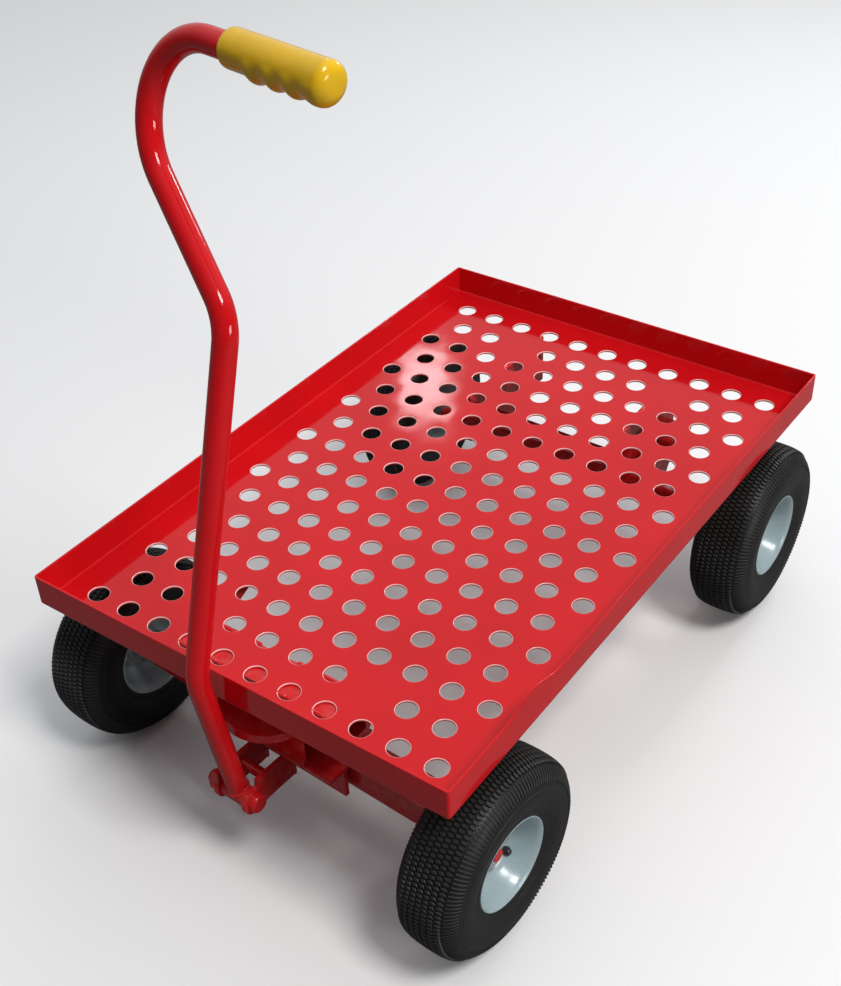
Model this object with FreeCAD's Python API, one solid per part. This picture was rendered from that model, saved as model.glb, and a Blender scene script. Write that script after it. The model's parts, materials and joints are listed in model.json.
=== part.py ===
# Wagon with a pull handle: a perforated steel tray on four pneumatic wheels.
# Units are millimetres. +Z is up, the wagon's front (handle end) faces -Y, +X is its right side.
# The ground is Z = 0. The front truck and the handle stand turned by STEER_DEG about the kingpin.
import FreeCAD
import Part
import math
import os

V = FreeCAD.Vector
os.makedirs("parts", exist_ok=True)

# Tray
TRAY_WIDTH = 609.6              # 24 in
TRAY_LENGTH = 914.4             # 36 in
TRAY_MID_Y = 24.8               # puts the middle of the whole wagon over the origin
SHEET = 3.0
TRAY_TOP = 277.0                # load surface above the ground
LIP_HEIGHT = 41.0               # above the load surface
LIP_BEND = 4.5                  # outside radius where the sheet turns up
HOLE_PITCH = 50.8               # staggered pattern, rows one pitch apart
HOLE_RADIUS = 13.9
HOLE_ROWS = 17
HOLES_PER_LONG_ROW = 11
BLANK_ROWS = (1, 15)            # rows with two places left unpunched, for the frame welds
BLANK_X = 2.5 * HOLE_PITCH
WAVE_HEIGHT = 12.0              # shallow wave in the top edge of the right lip
WAVE_LENGTH = 120.0
WAVE_SETBACK = 157.0            # from the front edge to the middle of the wave

# Running gear
WHEEL_RADIUS = 127.0            # 10 in tyre
TYRE_WIDTH = 87.0
FRONT_HALF_TRACK = 288.0
REAR_HALF_TRACK = 290.0
FRONT_AXLE_SETBACK = 104.0      # behind the front edge of the tray
REAR_AXLE_SETBACK = 134.0       # ahead of the rear edge
TRAIL = 35.0                    # the axle runs behind the kingpin
STEER_DEG = -3.0
AXLE_RADIUS = 7.94              # 5/8 in rod
SLEEVE_OUTSIDE = 13.35          # radius of the pipe sleeves on the axles
BORE_CLEARANCE = 0.06           # radial, in every running fit
SIDE_PLAY = 0.3                 # between a turning piece and its neighbour

TRAY_BOTTOM = TRAY_TOP - SHEET
FRONT_EDGE_Y = TRAY_MID_Y - TRAY_LENGTH / 2
REAR_EDGE_Y = TRAY_MID_Y + TRAY_LENGTH / 2
FRONT_AXLE_Y = FRONT_EDGE_Y + FRONT_AXLE_SETBACK
REAR_AXLE_Y = REAR_EDGE_Y - REAR_AXLE_SETBACK
KINGPIN_Y = FRONT_AXLE_Y - TRAIL

# Wheel section, measured from the wheel's middle plane
HUB_RADIUS = 17.0
HUB_INNER = 43.8                # reach towards the wagon
HUB_OUTER = 8.0
RIM_FLANGE_RADIUS = 59.0
RIM_SEAT_RADIUS = 50.8
RIM_HALF_WIDTH = 34.0
RIM_SHEET = 2.0
RIM_BOLT_CIRCLE = 29.0
RIM_BOLTS = 5
STEM_CIRCLE = 41.0              # distance of the valve stem from the axle
STEM_NECK = 9.0                 # outer end of the stem's rubber foot
STEM_TIP = 13.5                 # outer end of its round cap
STEM_CAP_RADIUS = 4.8
WASHER = 2.5
AXLE_OVERHANG = 17.5            # axle end past the wheel's middle plane

# Front truck
BOLSTER_WIDTH = 254.0
BOLSTER_SIZE = 50.0             # square tube
TUBE_WALL = 5.0
PLATE = 6.0
TURNTABLE_RADIUS = 62.0
TURNTABLE_GAP = 0.25
TRUCK_PLATE_WIDTH = 220.0
AXLE_BEAM_HALF = 236.0
AXLE_BEAM_DEPTH = 44.0
AXLE_BEAM_BOTTOM = 135.0
AXLE_BEAM_TOP = 167.0
KINGPIN_RADIUS = 10.0
KINGPIN_HEX = 30.0              # across the flats of its head and nut
KINGPIN_HEAD = 12.0
KINGPIN_NUT = 14.0
RISER_HALF = 70.0
AXLE_SEATS_X = (-190.0, -70.0, 70.0, 190.0)
AXLE_SEAT_WIDTH = 24.0
COLLAR_LENGTH = 9.0
APRON_AHEAD = 30.0              # back face of the apron, ahead of the front axle
APRON_BOTTOM = 125.0

# Tongue and handle
BAR_BOTTOM = 108.0
BAR_TOP = 150.0
BAR_GAP = 40.0                  # clear width between the two tongue bars
PIVOT_AHEAD = 104.0             # ahead of the front axle
PIVOT_Z = 121.0
PIVOT_RADIUS = 8.0
SLEEVE_RADIUS = 13.0
HANDLE_RADIUS = 13.35           # 3/4 in pipe
KNEE_AHEAD = 135.0              # lower bend, ahead of the front axle
KNEE_Z = 333.0
SHOULDER_AHEAD = 18.6           # upper bend
SHOULDER_Z = 725.0
KNEE_BEND = 90.0
SHOULDER_BEND = 60.0
HOOK_OUT = 115.0                # sideways run before the hook
HOOK_UP = 108.0
HOOK_RADIUS = 80.0
HOOK_TWIST = 6.0                # degrees about the handle, brings the grip end forward
HOOK_DROOP = 2.0                # degrees the hook bends on past a right angle
GRIP_GAP = 34.0                 # bare tube between the hook and the grip
GRIP_LENGTH = 136.0
GRIP_RADIUS = 19.5
GRIP_WALL_END = 5.0
FIRST_FINGER = 44.0             # from the grip's start to the first finger swell
FINGER_SPACING = 23.5

nodes = {}


def box(x0, x1, y0, y1, z0, z1):
    return Part.makeBox(x1 - x0, y1 - y0, z1 - z0, V(x0, y0, z0))


def rod(radius, start, end):
    axis = end - start
    return Part.makeCylinder(radius, axis.Length, start, axis)


def ring(outer, inner, start, end):
    return rod(outer, start, end).cut(rod(inner, start - (end - start), end + (end - start)))


def hex_prism(across_flats, start, end):
    """Hexagonal prism from start to end."""
    axis = end - start
    corner = across_flats / math.sqrt(3)
    points = [V(corner * math.cos(math.radians(a)), corner * math.sin(math.radians(a)), 0)
              for a in range(0, 361, 60)]
    face = Part.Face(Part.makePolygon(points))
    prism = face.extrude(V(0, 0, axis.Length))
    turn = FreeCAD.Rotation(V(0, 0, 1), axis)
    prism.Placement = FreeCAD.Placement(start, turn)
    return prism


def plate_outline(points, thickness, direction):
    """Flat plate from a closed list of points, thickened along direction."""
    face = Part.Face(Part.makePolygon(points + [points[0]]))
    return face.extrude(direction * thickness)


def steered(shape):
    """Turn a truck or handle shape about the kingpin to the standing steer angle."""
    turned = shape.copy()
    turned.rotate(V(0, KINGPIN_Y, 0), V(0, 0, 1), STEER_DEG)
    return turned


def ahead(distance):
    """Y of a place that far ahead of the front axle."""
    return FRONT_AXLE_Y - distance


# ---------------------------------------------------------------- tray

def hole_places():
    """Centres of the punched holes on the tray floor."""
    for row in range(HOLE_ROWS):
        y = TRAY_MID_Y + (row - (HOLE_ROWS - 1) / 2) * HOLE_PITCH
        count = HOLES_PER_LONG_ROW - row % 2
        for place in range(count):
            x = (place - (count - 1) / 2) * HOLE_PITCH
            if row in BLANK_ROWS and abs(abs(x) - BLANK_X) < 1.0:
                continue
            yield x, y


def make_floor():
    half_width = TRAY_WIDTH / 2 - LIP_BEND
    half_length = TRAY_LENGTH / 2 - LIP_BEND
    panel = box(-half_width, half_width, TRAY_MID_Y - half_length, TRAY_MID_Y + half_length,
                TRAY_BOTTOM, TRAY_TOP)
    punches = [Part.makeCylinder(HOLE_RADIUS, 3 * SHEET, V(x, y, TRAY_BOTTOM - SHEET))
               for x, y in hole_places()]
    return panel.cut(Part.makeCompound(punches))


def lip_section(length):
    """Lip sheet with its bend, running along X from 0 to length, turned up on the -Y side."""
    bend_inside = LIP_BEND - SHEET
    top = TRAY_TOP + LIP_HEIGHT
    corner = V(0, LIP_BEND, TRAY_BOTTOM + LIP_BEND)
    half = math.sqrt(0.5)

    def arc(radius, start, end):
        middle = corner + V(0, -radius * half, -radius * half)
        return Part.Arc(start, middle, end).toShape()

    foot_under = V(0, LIP_BEND, TRAY_BOTTOM)
    outer_low = V(0, 0, TRAY_BOTTOM + LIP_BEND)
    outer_top = V(0, 0, top)
    inner_top = V(0, SHEET, top)
    inner_low = V(0, SHEET, TRAY_BOTTOM + LIP_BEND)
    foot_top = V(0, LIP_BEND, TRAY_TOP)
    edges = [arc(LIP_BEND, foot_under, outer_low),
             Part.makeLine(outer_low, outer_top),
             Part.makeLine(outer_top, inner_top),
             Part.makeLine(inner_top, inner_low),
             arc(bend_inside, inner_low, foot_top),
             Part.makeLine(foot_top, foot_under)]
    return Part.Face(Part.Wire(edges)).extrude(V(length, 0, 0))


def place_lip(length, angle, x, y):
    lip = lip_section(length)
    lip.rotate(V(0, 0, 0), V(0, 0, 1), angle)
    lip.translate(V(x, y, 0))
    return lip


def lip_wave():
    """Solid that follows the wave in the right lip's top edge."""
    top = TRAY_TOP + LIP_HEIGHT
    middle_y = FRONT_EDGE_Y + WAVE_SETBACK
    steps = 12
    points = []
    for step in range(steps + 1):
        share = step / steps
        rise = WAVE_HEIGHT * 0.5 * (1 - math.cos(2 * math.pi * share))
        points.append(V(TRAY_WIDTH / 2 - SHEET, middle_y + (share - 0.5) * WAVE_LENGTH, top + rise))
    curve = Part.BSplineCurve()
    curve.interpolate(points)
    base = Part.makeLine(points[-1], points[0])
    face = Part.Face(Part.Wire([curve.toShape(), base]))
    return face.extrude(V(SHEET, 0, 0))


def make_tray():
    half_width = TRAY_WIDTH / 2
    nodes["tray_floor"] = make_floor()
    side_length = TRAY_LENGTH - 2 * SHEET
    nodes["lip_front"] = place_lip(TRAY_WIDTH, 0, -half_width, FRONT_EDGE_Y)
    nodes["lip_rear"] = place_lip(TRAY_WIDTH, 180, half_width, REAR_EDGE_Y)
    left = place_lip(TRAY_LENGTH, -90, -half_width, REAR_EDGE_Y)
    right = place_lip(TRAY_LENGTH, 90, half_width, FRONT_EDGE_Y)
    right = right.fuse(lip_wave())
    ends = nodes["lip_front"].fuse(nodes["lip_rear"])
    inside = box(-half_width, half_width, FRONT_EDGE_Y + LIP_BEND, REAR_EDGE_Y - LIP_BEND,
                 TRAY_BOTTOM, TRAY_TOP + 2 * LIP_HEIGHT)
    upper = box(-half_width, half_width, TRAY_MID_Y - side_length / 2, TRAY_MID_Y + side_length / 2,
                TRAY_BOTTOM + LIP_BEND, TRAY_TOP + 2 * LIP_HEIGHT)
    keep = inside.fuse(upper)
    nodes["lip_left"] = left.common(keep).cut(ends)
    nodes["lip_right"] = right.common(keep).cut(ends)


# ---------------------------------------------------------------- fixed frame

def make_front_bolster():
    """Square tube across the underside of the tray, with the fixed turntable plate under it."""
    half = BOLSTER_SIZE / 2
    bottom = TRAY_BOTTOM - BOLSTER_SIZE
    outer = box(-BOLSTER_WIDTH / 2, BOLSTER_WIDTH / 2, KINGPIN_Y - half, KINGPIN_Y + half,
                bottom, TRAY_BOTTOM)
    inner = box(-BOLSTER_WIDTH, BOLSTER_WIDTH, KINGPIN_Y - half + TUBE_WALL,
                KINGPIN_Y + half - TUBE_WALL, bottom + TUBE_WALL, TRAY_BOTTOM - TUBE_WALL)
    pin = rod(KINGPIN_RADIUS, V(0, KINGPIN_Y, bottom - 1), V(0, KINGPIN_Y, bottom + TUBE_WALL + 1))
    nodes["front_bolster"] = outer.cut(inner).cut(pin)
    nodes["turntable_upper"] = ring(TURNTABLE_RADIUS, KINGPIN_RADIUS,
                                    V(0, KINGPIN_Y, bottom - PLATE), V(0, KINGPIN_Y, bottom))
    for side, sign in (("left", -1), ("right", 1)):
        outer_x = sign * BOLSTER_WIDTH / 2
        points = [V(outer_x, KINGPIN_Y + half, TRAY_BOTTOM),
                  V(outer_x, KINGPIN_Y + half + 88, TRAY_BOTTOM),
                  V(outer_x, KINGPIN_Y + half + 88, TRAY_BOTTOM - 12),
                  V(outer_x, KINGPIN_Y + half, bottom)]
        nodes["bolster_gusset_" + side] = plate_outline(points, PLATE, V(-sign, 0, 0))


def make_kingpin():
    """Kingpin bolt standing in the bolster, with its washer and nut under the turning plate."""
    seat = TRAY_BOTTOM - BOLSTER_SIZE + TUBE_WALL
    nut_top = riser_top() - TUBE_WALL - SIDE_PLAY - WASHER
    head = hex_prism(KINGPIN_HEX, V(0, KINGPIN_Y, seat), V(0, KINGPIN_Y, seat + KINGPIN_HEAD))
    shank = rod(KINGPIN_RADIUS, V(0, KINGPIN_Y, nut_top - 18), V(0, KINGPIN_Y, seat))
    nodes["kingpin"] = head.fuse(shank)
    nut = hex_prism(KINGPIN_HEX, V(0, KINGPIN_Y, nut_top - KINGPIN_NUT),
                    V(0, KINGPIN_Y, nut_top))
    hole = rod(KINGPIN_RADIUS, V(0, KINGPIN_Y, nut_top - 20), V(0, KINGPIN_Y, nut_top + 1))
    washer = ring(19.0, KINGPIN_RADIUS, V(0, KINGPIN_Y, nut_top), V(0, KINGPIN_Y, nut_top + WASHER))
    nodes["kingpin_nut"] = Part.makeCompound([nut.cut(hole), washer])


def make_rear_frame():
    """Two hanging rails joined by an angle, and two hangers that carry the rear axle."""
    web_x = 112.0
    web = 5.0
    rail_bottom = 197.0
    flange = 30.0
    front_y = REAR_AXLE_Y - 120.0
    back_y = REAR_AXLE_Y + 83.0
    hanger_gap = 11.0
    hanger = 8.0
    for side, sign in (("left", -1), ("right", 1)):
        outline = [V(sign * web_x, front_y, TRAY_BOTTOM),
                   V(sign * (web_x + web), front_y, TRAY_BOTTOM),
                   V(sign * (web_x + web), front_y, rail_bottom + web),
                   V(sign * (web_x + web + flange), front_y, rail_bottom + web),
                   V(sign * (web_x + web + flange), front_y, rail_bottom),
                   V(sign * web_x, front_y, rail_bottom)]
        nodes["rear_rail_" + side] = plate_outline(outline, back_y - front_y, V(0, 1, 0))
        x = sign * (web_x + web + hanger_gap)
        top_half = 58.0
        foot = 21.0
        points = [V(x, REAR_AXLE_Y - top_half, rail_bottom),
                  V(x, REAR_AXLE_Y + top_half, rail_bottom),
                  V(x, REAR_AXLE_Y + top_half, rail_bottom - 14),
                  V(x, REAR_AXLE_Y + foot, WHEEL_RADIUS),
                  V(x, REAR_AXLE_Y - foot, WHEEL_RADIUS),
                  V(x, REAR_AXLE_Y - top_half, rail_bottom - 14)]
        plate = plate_outline(points, hanger, V(sign, 0, 0))
        eye = rod(foot, V(x, REAR_AXLE_Y, WHEEL_RADIUS), V(x + sign * hanger, REAR_AXLE_Y, WHEEL_RADIUS))
        bore = rod(AXLE_RADIUS, V(x - sign * 5, REAR_AXLE_Y, WHEEL_RADIUS),
                   V(x + sign * 20, REAR_AXLE_Y, WHEEL_RADIUS))
        nodes["rear_hanger_" + side] = plate.fuse(eye).removeSplitter().cut(bore)
    cross_top = 241.0
    cross_bottom = 201.0
    ledge = 38.0
    outline = [V(-web_x, front_y, cross_bottom),
               V(-web_x, front_y, cross_top),
               V(-web_x, front_y + ledge, cross_top),
               V(-web_x, front_y + ledge, cross_top - web),
               V(-web_x, front_y + web, cross_top - web),
               V(-web_x, front_y + web, cross_bottom)]
    nodes["rear_cross"] = plate_outline(outline, 2 * web_x, V(1, 0, 0))
    hanger_in = web_x + web + hanger_gap
    make_axle_sleeves(hanger_in, hanger_in + hanger)


def make_axle_sleeves(hanger_in, hanger_out):
    """Sleeves on the rear axle: one between the hangers and one outside each of them."""
    hub_face = REAR_HALF_TRACK - HUB_INNER - SIDE_PLAY
    sleeves = [ring(SLEEVE_OUTSIDE, AXLE_RADIUS, V(start, REAR_AXLE_Y, WHEEL_RADIUS),
                    V(end, REAR_AXLE_Y, WHEEL_RADIUS))
               for start, end in ((-hub_face, -hanger_out), (-hanger_in, hanger_in),
                                  (hanger_out, hub_face))]
    nodes["rear_axle_sleeves"] = Part.makeCompound(sleeves)


# ---------------------------------------------------------------- axles

def make_axle(y, half_track):
    """Axle rod, and the washer and cotter pin that keep the wheel on at each end."""
    reach = half_track + AXLE_OVERHANG
    bar = rod(AXLE_RADIUS, V(-reach, y, WHEEL_RADIUS), V(reach, y, WHEEL_RADIUS))
    pin_x = half_track + HUB_OUTER + SIDE_PLAY + WASHER + 2.3
    keepers = []
    for sign in (-1, 1):
        x = sign * (half_track + HUB_OUTER + SIDE_PLAY)
        keepers.append(ring(15.0, AXLE_RADIUS, V(x, y, WHEEL_RADIUS),
                            V(x + sign * WASHER, y, WHEEL_RADIUS)))
        low = V(sign * pin_x, y, WHEEL_RADIUS - 13)
        high = V(sign * pin_x, y, WHEEL_RADIUS + 11)
        bar = bar.cut(rod(1.9, low, high))
        eye = Part.makeTorus(3.2, 1.4, V(sign * pin_x, y, WHEEL_RADIUS + 13.6), V(1, 0, 0))
        keepers.append(rod(1.9, low, high).fuse(eye))
    return bar, Part.makeCompound(keepers)


# ---------------------------------------------------------------- front truck

def riser_top():
    return TRAY_BOTTOM - BOLSTER_SIZE - PLATE - TURNTABLE_GAP - PLATE


def make_truck():
    """Turning plate, riser, truck plate, axle beam and apron."""
    half = BOLSTER_SIZE / 2
    bore = KINGPIN_RADIUS + BORE_CLEARANCE
    top = riser_top()
    plate_top = AXLE_BEAM_TOP + TUBE_WALL
    lower = ring(TURNTABLE_RADIUS, bore, V(0, KINGPIN_Y, top), V(0, KINGPIN_Y, top + PLATE))
    outer = box(-RISER_HALF, RISER_HALF, KINGPIN_Y - half, KINGPIN_Y + half, plate_top, top)
    inner_half = half - TUBE_WALL
    inner = box(-RISER_HALF - 1, RISER_HALF + 1, KINGPIN_Y - inner_half, KINGPIN_Y + inner_half,
                plate_top + TUBE_WALL, top - TUBE_WALL)
    riser = outer.cut(inner).cut(rod(bore, V(0, KINGPIN_Y, top - 10), V(0, KINGPIN_Y, top + 1)))
    width = TRUCK_PLATE_WIDTH / 2
    plate = box(-width, width, ahead(60), ahead(-32), AXLE_BEAM_TOP, plate_top)
    apron = box(-width, width, ahead(APRON_AHEAD + PLATE), ahead(APRON_AHEAD),
                APRON_BOTTOM, AXLE_BEAM_TOP)
    depth = AXLE_BEAM_DEPTH / 2
    beam = box(-AXLE_BEAM_HALF, AXLE_BEAM_HALF, ahead(depth), ahead(-depth),
               AXLE_BEAM_BOTTOM - 4, AXLE_BEAM_TOP)
    hollow = box(-AXLE_BEAM_HALF - 1, AXLE_BEAM_HALF + 1, ahead(depth - TUBE_WALL),
                 ahead(TUBE_WALL - depth), 100.0, AXLE_BEAM_TOP - TUBE_WALL)
    nodes["turntable_lower"] = steered(lower)
    nodes["truck_riser"] = steered(riser)
    nodes["truck_plate"] = steered(plate)
    nodes["truck_apron"] = steered(apron)
    seats = []
    for x in AXLE_SEATS_X:
        block = box(x - AXLE_SEAT_WIDTH / 2, x + AXLE_SEAT_WIDTH / 2, ahead(depth - TUBE_WALL),
                    ahead(TUBE_WALL - depth), WHEEL_RADIUS, AXLE_BEAM_TOP - TUBE_WALL)
        seats.append(block.cut(rod(AXLE_RADIUS, V(x - AXLE_SEAT_WIDTH, FRONT_AXLE_Y, WHEEL_RADIUS),
                                   V(x + AXLE_SEAT_WIDTH, FRONT_AXLE_Y, WHEEL_RADIUS))))
    nodes["axle_beam"] = steered(beam.cut(hollow).multiFuse(seats))
    hub_face = FRONT_HALF_TRACK - HUB_INNER - SIDE_PLAY
    collars = [ring(SLEEVE_OUTSIDE, AXLE_RADIUS,
                    V(sign * (hub_face - COLLAR_LENGTH), FRONT_AXLE_Y, WHEEL_RADIUS),
                    V(sign * hub_face, FRONT_AXLE_Y, WHEEL_RADIUS)) for sign in (-1, 1)]
    nodes["front_axle_collars"] = steered(Part.makeCompound(collars))


def make_tongue():
    """Two bars on edge, welded to the apron, that hold the handle pivot and its stop."""
    nose = 17.0
    back_y = ahead(APRON_AHEAD + PLATE)
    for side, sign, reach in (("left", -1, 117.0), ("right", 1, 96.0)):
        x = sign * BAR_GAP / 2
        points = [V(x, back_y, BAR_BOTTOM),
                  V(x, back_y, BAR_TOP),
                  V(x, ahead(reach), BAR_TOP),
                  V(x, ahead(reach), BAR_TOP - 10),
                  V(x, ahead(PIVOT_AHEAD + nose * 0.8), PIVOT_Z + nose * 0.6),
                  V(x, ahead(PIVOT_AHEAD - 2), PIVOT_Z - nose),
                  V(x, ahead(PIVOT_AHEAD - 22), BAR_BOTTOM)]
        bar = plate_outline(points, PLATE, V(sign, 0, 0))
        nose_disc = rod(nose, V(x, ahead(PIVOT_AHEAD), PIVOT_Z),
                        V(x + sign * PLATE, ahead(PIVOT_AHEAD), PIVOT_Z))
        hole = rod(PIVOT_RADIUS, V(x - sign * 3, ahead(PIVOT_AHEAD), PIVOT_Z),
                   V(x + sign * 20, ahead(PIVOT_AHEAD), PIVOT_Z))
        nodes["tongue_bar_" + side] = steered(bar.fuse(nose_disc).removeSplitter().cut(hole))
    stop_y = ahead(PIVOT_AHEAD) + SLEEVE_RADIUS + 14.0
    stop = rod(7.0, V(-BAR_GAP / 2, stop_y, 137.0), V(BAR_GAP / 2, stop_y, 137.0))
    nodes["tongue_stop"] = steered(stop)
    outer_x = BAR_GAP / 2 + PLATE
    center = V(0, ahead(PIVOT_AHEAD), PIVOT_Z)
    shank = rod(PIVOT_RADIUS, center - V(outer_x + 19, 0, 0), center + V(outer_x, 0, 0))
    head = rod(12.5, center + V(outer_x, 0, 0), center + V(outer_x + 9, 0, 0))
    rim = [edge for edge in head.Edges if abs(edge.BoundBox.XMin - outer_x - 9) < 0.01
           and edge.BoundBox.XLength < 0.01]
    nodes["pivot_bolt"] = steered(head.makeFillet(4.0, rim).fuse(shank))
    nut = hex_prism(24.0, center - V(outer_x, 0, 0), center - V(outer_x + 13, 0, 0))
    nodes["pivot_nut"] = steered(nut.cut(rod(PIVOT_RADIUS, center - V(60, 0, 0), center)))


# ---------------------------------------------------------------- handle

def bend(before, corner, after, radius):
    """Arc of the given radius that rounds a corner, as (start, middle, end)."""
    inward = (before - corner).normalize()
    outward = (after - corner).normalize()
    angle = inward.getAngle(outward)
    reach = radius / math.tan(angle / 2)
    start = corner + inward * reach
    end = corner + outward * reach
    middle_way = (inward + outward).normalize()
    center = corner + middle_way * (radius / math.sin(angle / 2))
    return start, center - middle_way * radius, end


def handle_points():
    """Corner points of the handle's centre line before steering."""
    pivot = V(0, ahead(PIVOT_AHEAD), PIVOT_Z)
    knee = V(0, ahead(KNEE_AHEAD), KNEE_Z)
    shoulder = V(0, ahead(SHOULDER_AHEAD), SHOULDER_Z)
    up = (shoulder - knee).normalize()
    twist = math.radians(HOOK_TWIST)
    right = V(1, 0, 0) * math.cos(twist) - up.cross(V(1, 0, 0)) * math.sin(twist)
    hook_start = shoulder - right * HOOK_OUT + up * HOOK_UP
    return pivot, knee, shoulder, hook_start, up, right


def make_handle():
    pivot, knee, shoulder, hook_start, up, right = handle_points()
    slant = math.atan2(HOOK_OUT, HOOK_UP)
    droop = math.radians(HOOK_DROOP)
    inward = right * math.cos(slant) + up * math.sin(slant)
    center = hook_start + inward * HOOK_RADIUS
    half_way = (droop - slant - math.pi / 2) / 2
    middle = center + (right * math.sin(half_way) + up * math.cos(half_way)) * HOOK_RADIUS
    end = center + (right * math.sin(droop) + up * math.cos(droop)) * HOOK_RADIUS
    grip_way = right * math.cos(droop) - up * math.sin(droop)
    grip_start = end + grip_way * GRIP_GAP
    tube_end = grip_start + grip_way * (GRIP_LENGTH - GRIP_WALL_END)
    low = bend(pivot, knee, shoulder, KNEE_BEND)
    high = bend(knee, shoulder, hook_start, SHOULDER_BEND)
    path = Part.Wire([Part.makeLine(pivot, low[0]),
                      Part.Arc(*low).toShape(),
                      Part.makeLine(low[2], high[0]),
                      Part.Arc(*high).toShape(),
                      Part.makeLine(high[2], hook_start),
                      Part.Arc(hook_start, middle, end).toShape(),
                      Part.makeLine(end, tube_end)])
    start_direction = (knee - pivot).normalize()
    outer = Part.Wire(Part.makeCircle(HANDLE_RADIUS, pivot, start_direction))
    inner = Part.Wire(Part.makeCircle(HANDLE_RADIUS - 2.8, pivot, start_direction))
    tube = path.makePipeShell([outer], True, False).cut(path.makePipeShell([inner], True, False))
    length = BAR_GAP - 2 * SIDE_PLAY
    left_end = pivot - V(length / 2, 0, 0)
    right_end = pivot + V(length / 2, 0, 0)
    tube = tube.cut(rod(SLEEVE_RADIUS, left_end, right_end))
    nodes["handle_tube"] = steered(tube)
    sleeve = ring(SLEEVE_RADIUS, PIVOT_RADIUS + BORE_CLEARANCE, left_end, right_end)
    nodes["pivot_sleeve"] = steered(sleeve)
    nodes["grip"] = steered(make_grip(grip_start, grip_way, up))


def make_grip(start, way, up):
    """Soft grip pushed over the tube end, with finger swells along its underside."""
    stop = start + way * GRIP_LENGTH
    body = rod(GRIP_RADIUS, start, stop)
    rims = [edge for edge in body.Edges if len(edge.Vertexes) == 1]
    body = body.makeFillet(4.0, rims)
    for place in range(3):
        middle = start + way * (FIRST_FINGER + place * FINGER_SPACING) - up * 8.0
        body = body.fuse(Part.makeSphere(15.5, middle))
    bore = rod(HANDLE_RADIUS, start - way * 5, stop - way * GRIP_WALL_END)
    return body.cut(bore)


# ---------------------------------------------------------------- wheels

def revolve_about_x(points):
    """Solid of revolution about the X axis from a closed outline of (x, radius) pairs."""
    outline = [V(x, 0, r) for x, r in points]
    face = Part.Face(Part.makePolygon(outline + [outline[0]]))
    return face.revolve(V(0, 0, 0), V(1, 0, 0), 360)


def tyre_solid():
    """Tyre carcass with three grooves round the tread."""
    half = TYRE_WIDTH / 2
    tread = WHEEL_RADIUS
    curve = Part.BSplineCurve()
    curve.interpolate([V(RIM_HALF_WIDTH - 6, 0, RIM_SEAT_RADIUS + 0.1),
                       V(RIM_HALF_WIDTH + 1, 0, RIM_FLANGE_RADIUS + 3),
                       V(half - 2, 0, 76),
                       V(half, 0, 92),
                       V(half - 4, 0, 108),
                       V(half - 14, 0, 120),
                       V(half - 27, 0, tread - 1.2),
                       V(0, 0, tread)])
    side = curve.toShape()
    other = side.mirror(V(0, 0, 0), V(1, 0, 0))
    close = Part.makeLine(V(-(RIM_HALF_WIDTH - 6), 0, RIM_SEAT_RADIUS + 0.1),
                          V(RIM_HALF_WIDTH - 6, 0, RIM_SEAT_RADIUS + 0.1))
    wire = Part.Wire(Part.__sortEdges__([side, other, close]))
    body = Part.Face(wire).revolve(V(0, 0, 0), V(1, 0, 0), 360)
    for x in (-13.0, 0.0, 13.0):
        groove = ring(tread + 5, tread - 4, V(x - 1.5, 0, 0), V(x + 1.5, 0, 0))
        body = body.cut(groove)
    hollow = Part.makeTorus(82, 27, V(0, 0, 0), V(1, 0, 0))
    limit = rod(tread, V(-TYRE_WIDTH, 0, 0), V(TYRE_WIDTH, 0, 0))
    return body.cut(hollow).common(limit)


def rim_half(sign):
    """One pressed half of the split rim: web, dish, bead seat and flange."""
    t = RIM_SHEET
    w = RIM_HALF_WIDTH
    seat = RIM_SEAT_RADIUS
    flange = RIM_FLANGE_RADIUS
    inner = [(0, HUB_RADIUS), (0, 38), (7, 46.5), (w - 8, seat), (w - 3, seat + 1.2),
             (w - 1.5, flange - 2), (w + 1.5, flange)]
    outer = [(w + 2.5, flange - 2), (w + 0.8, flange - 4), (w - 0.6, seat - 0.6),
             (w - 8, seat - t), (8.5, 46.5 - t), (t + 0.8, 37.5), (t, 36), (t, HUB_RADIUS)]
    return revolve_about_x([(sign * x, r) for x, r in inner + outer])


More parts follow.
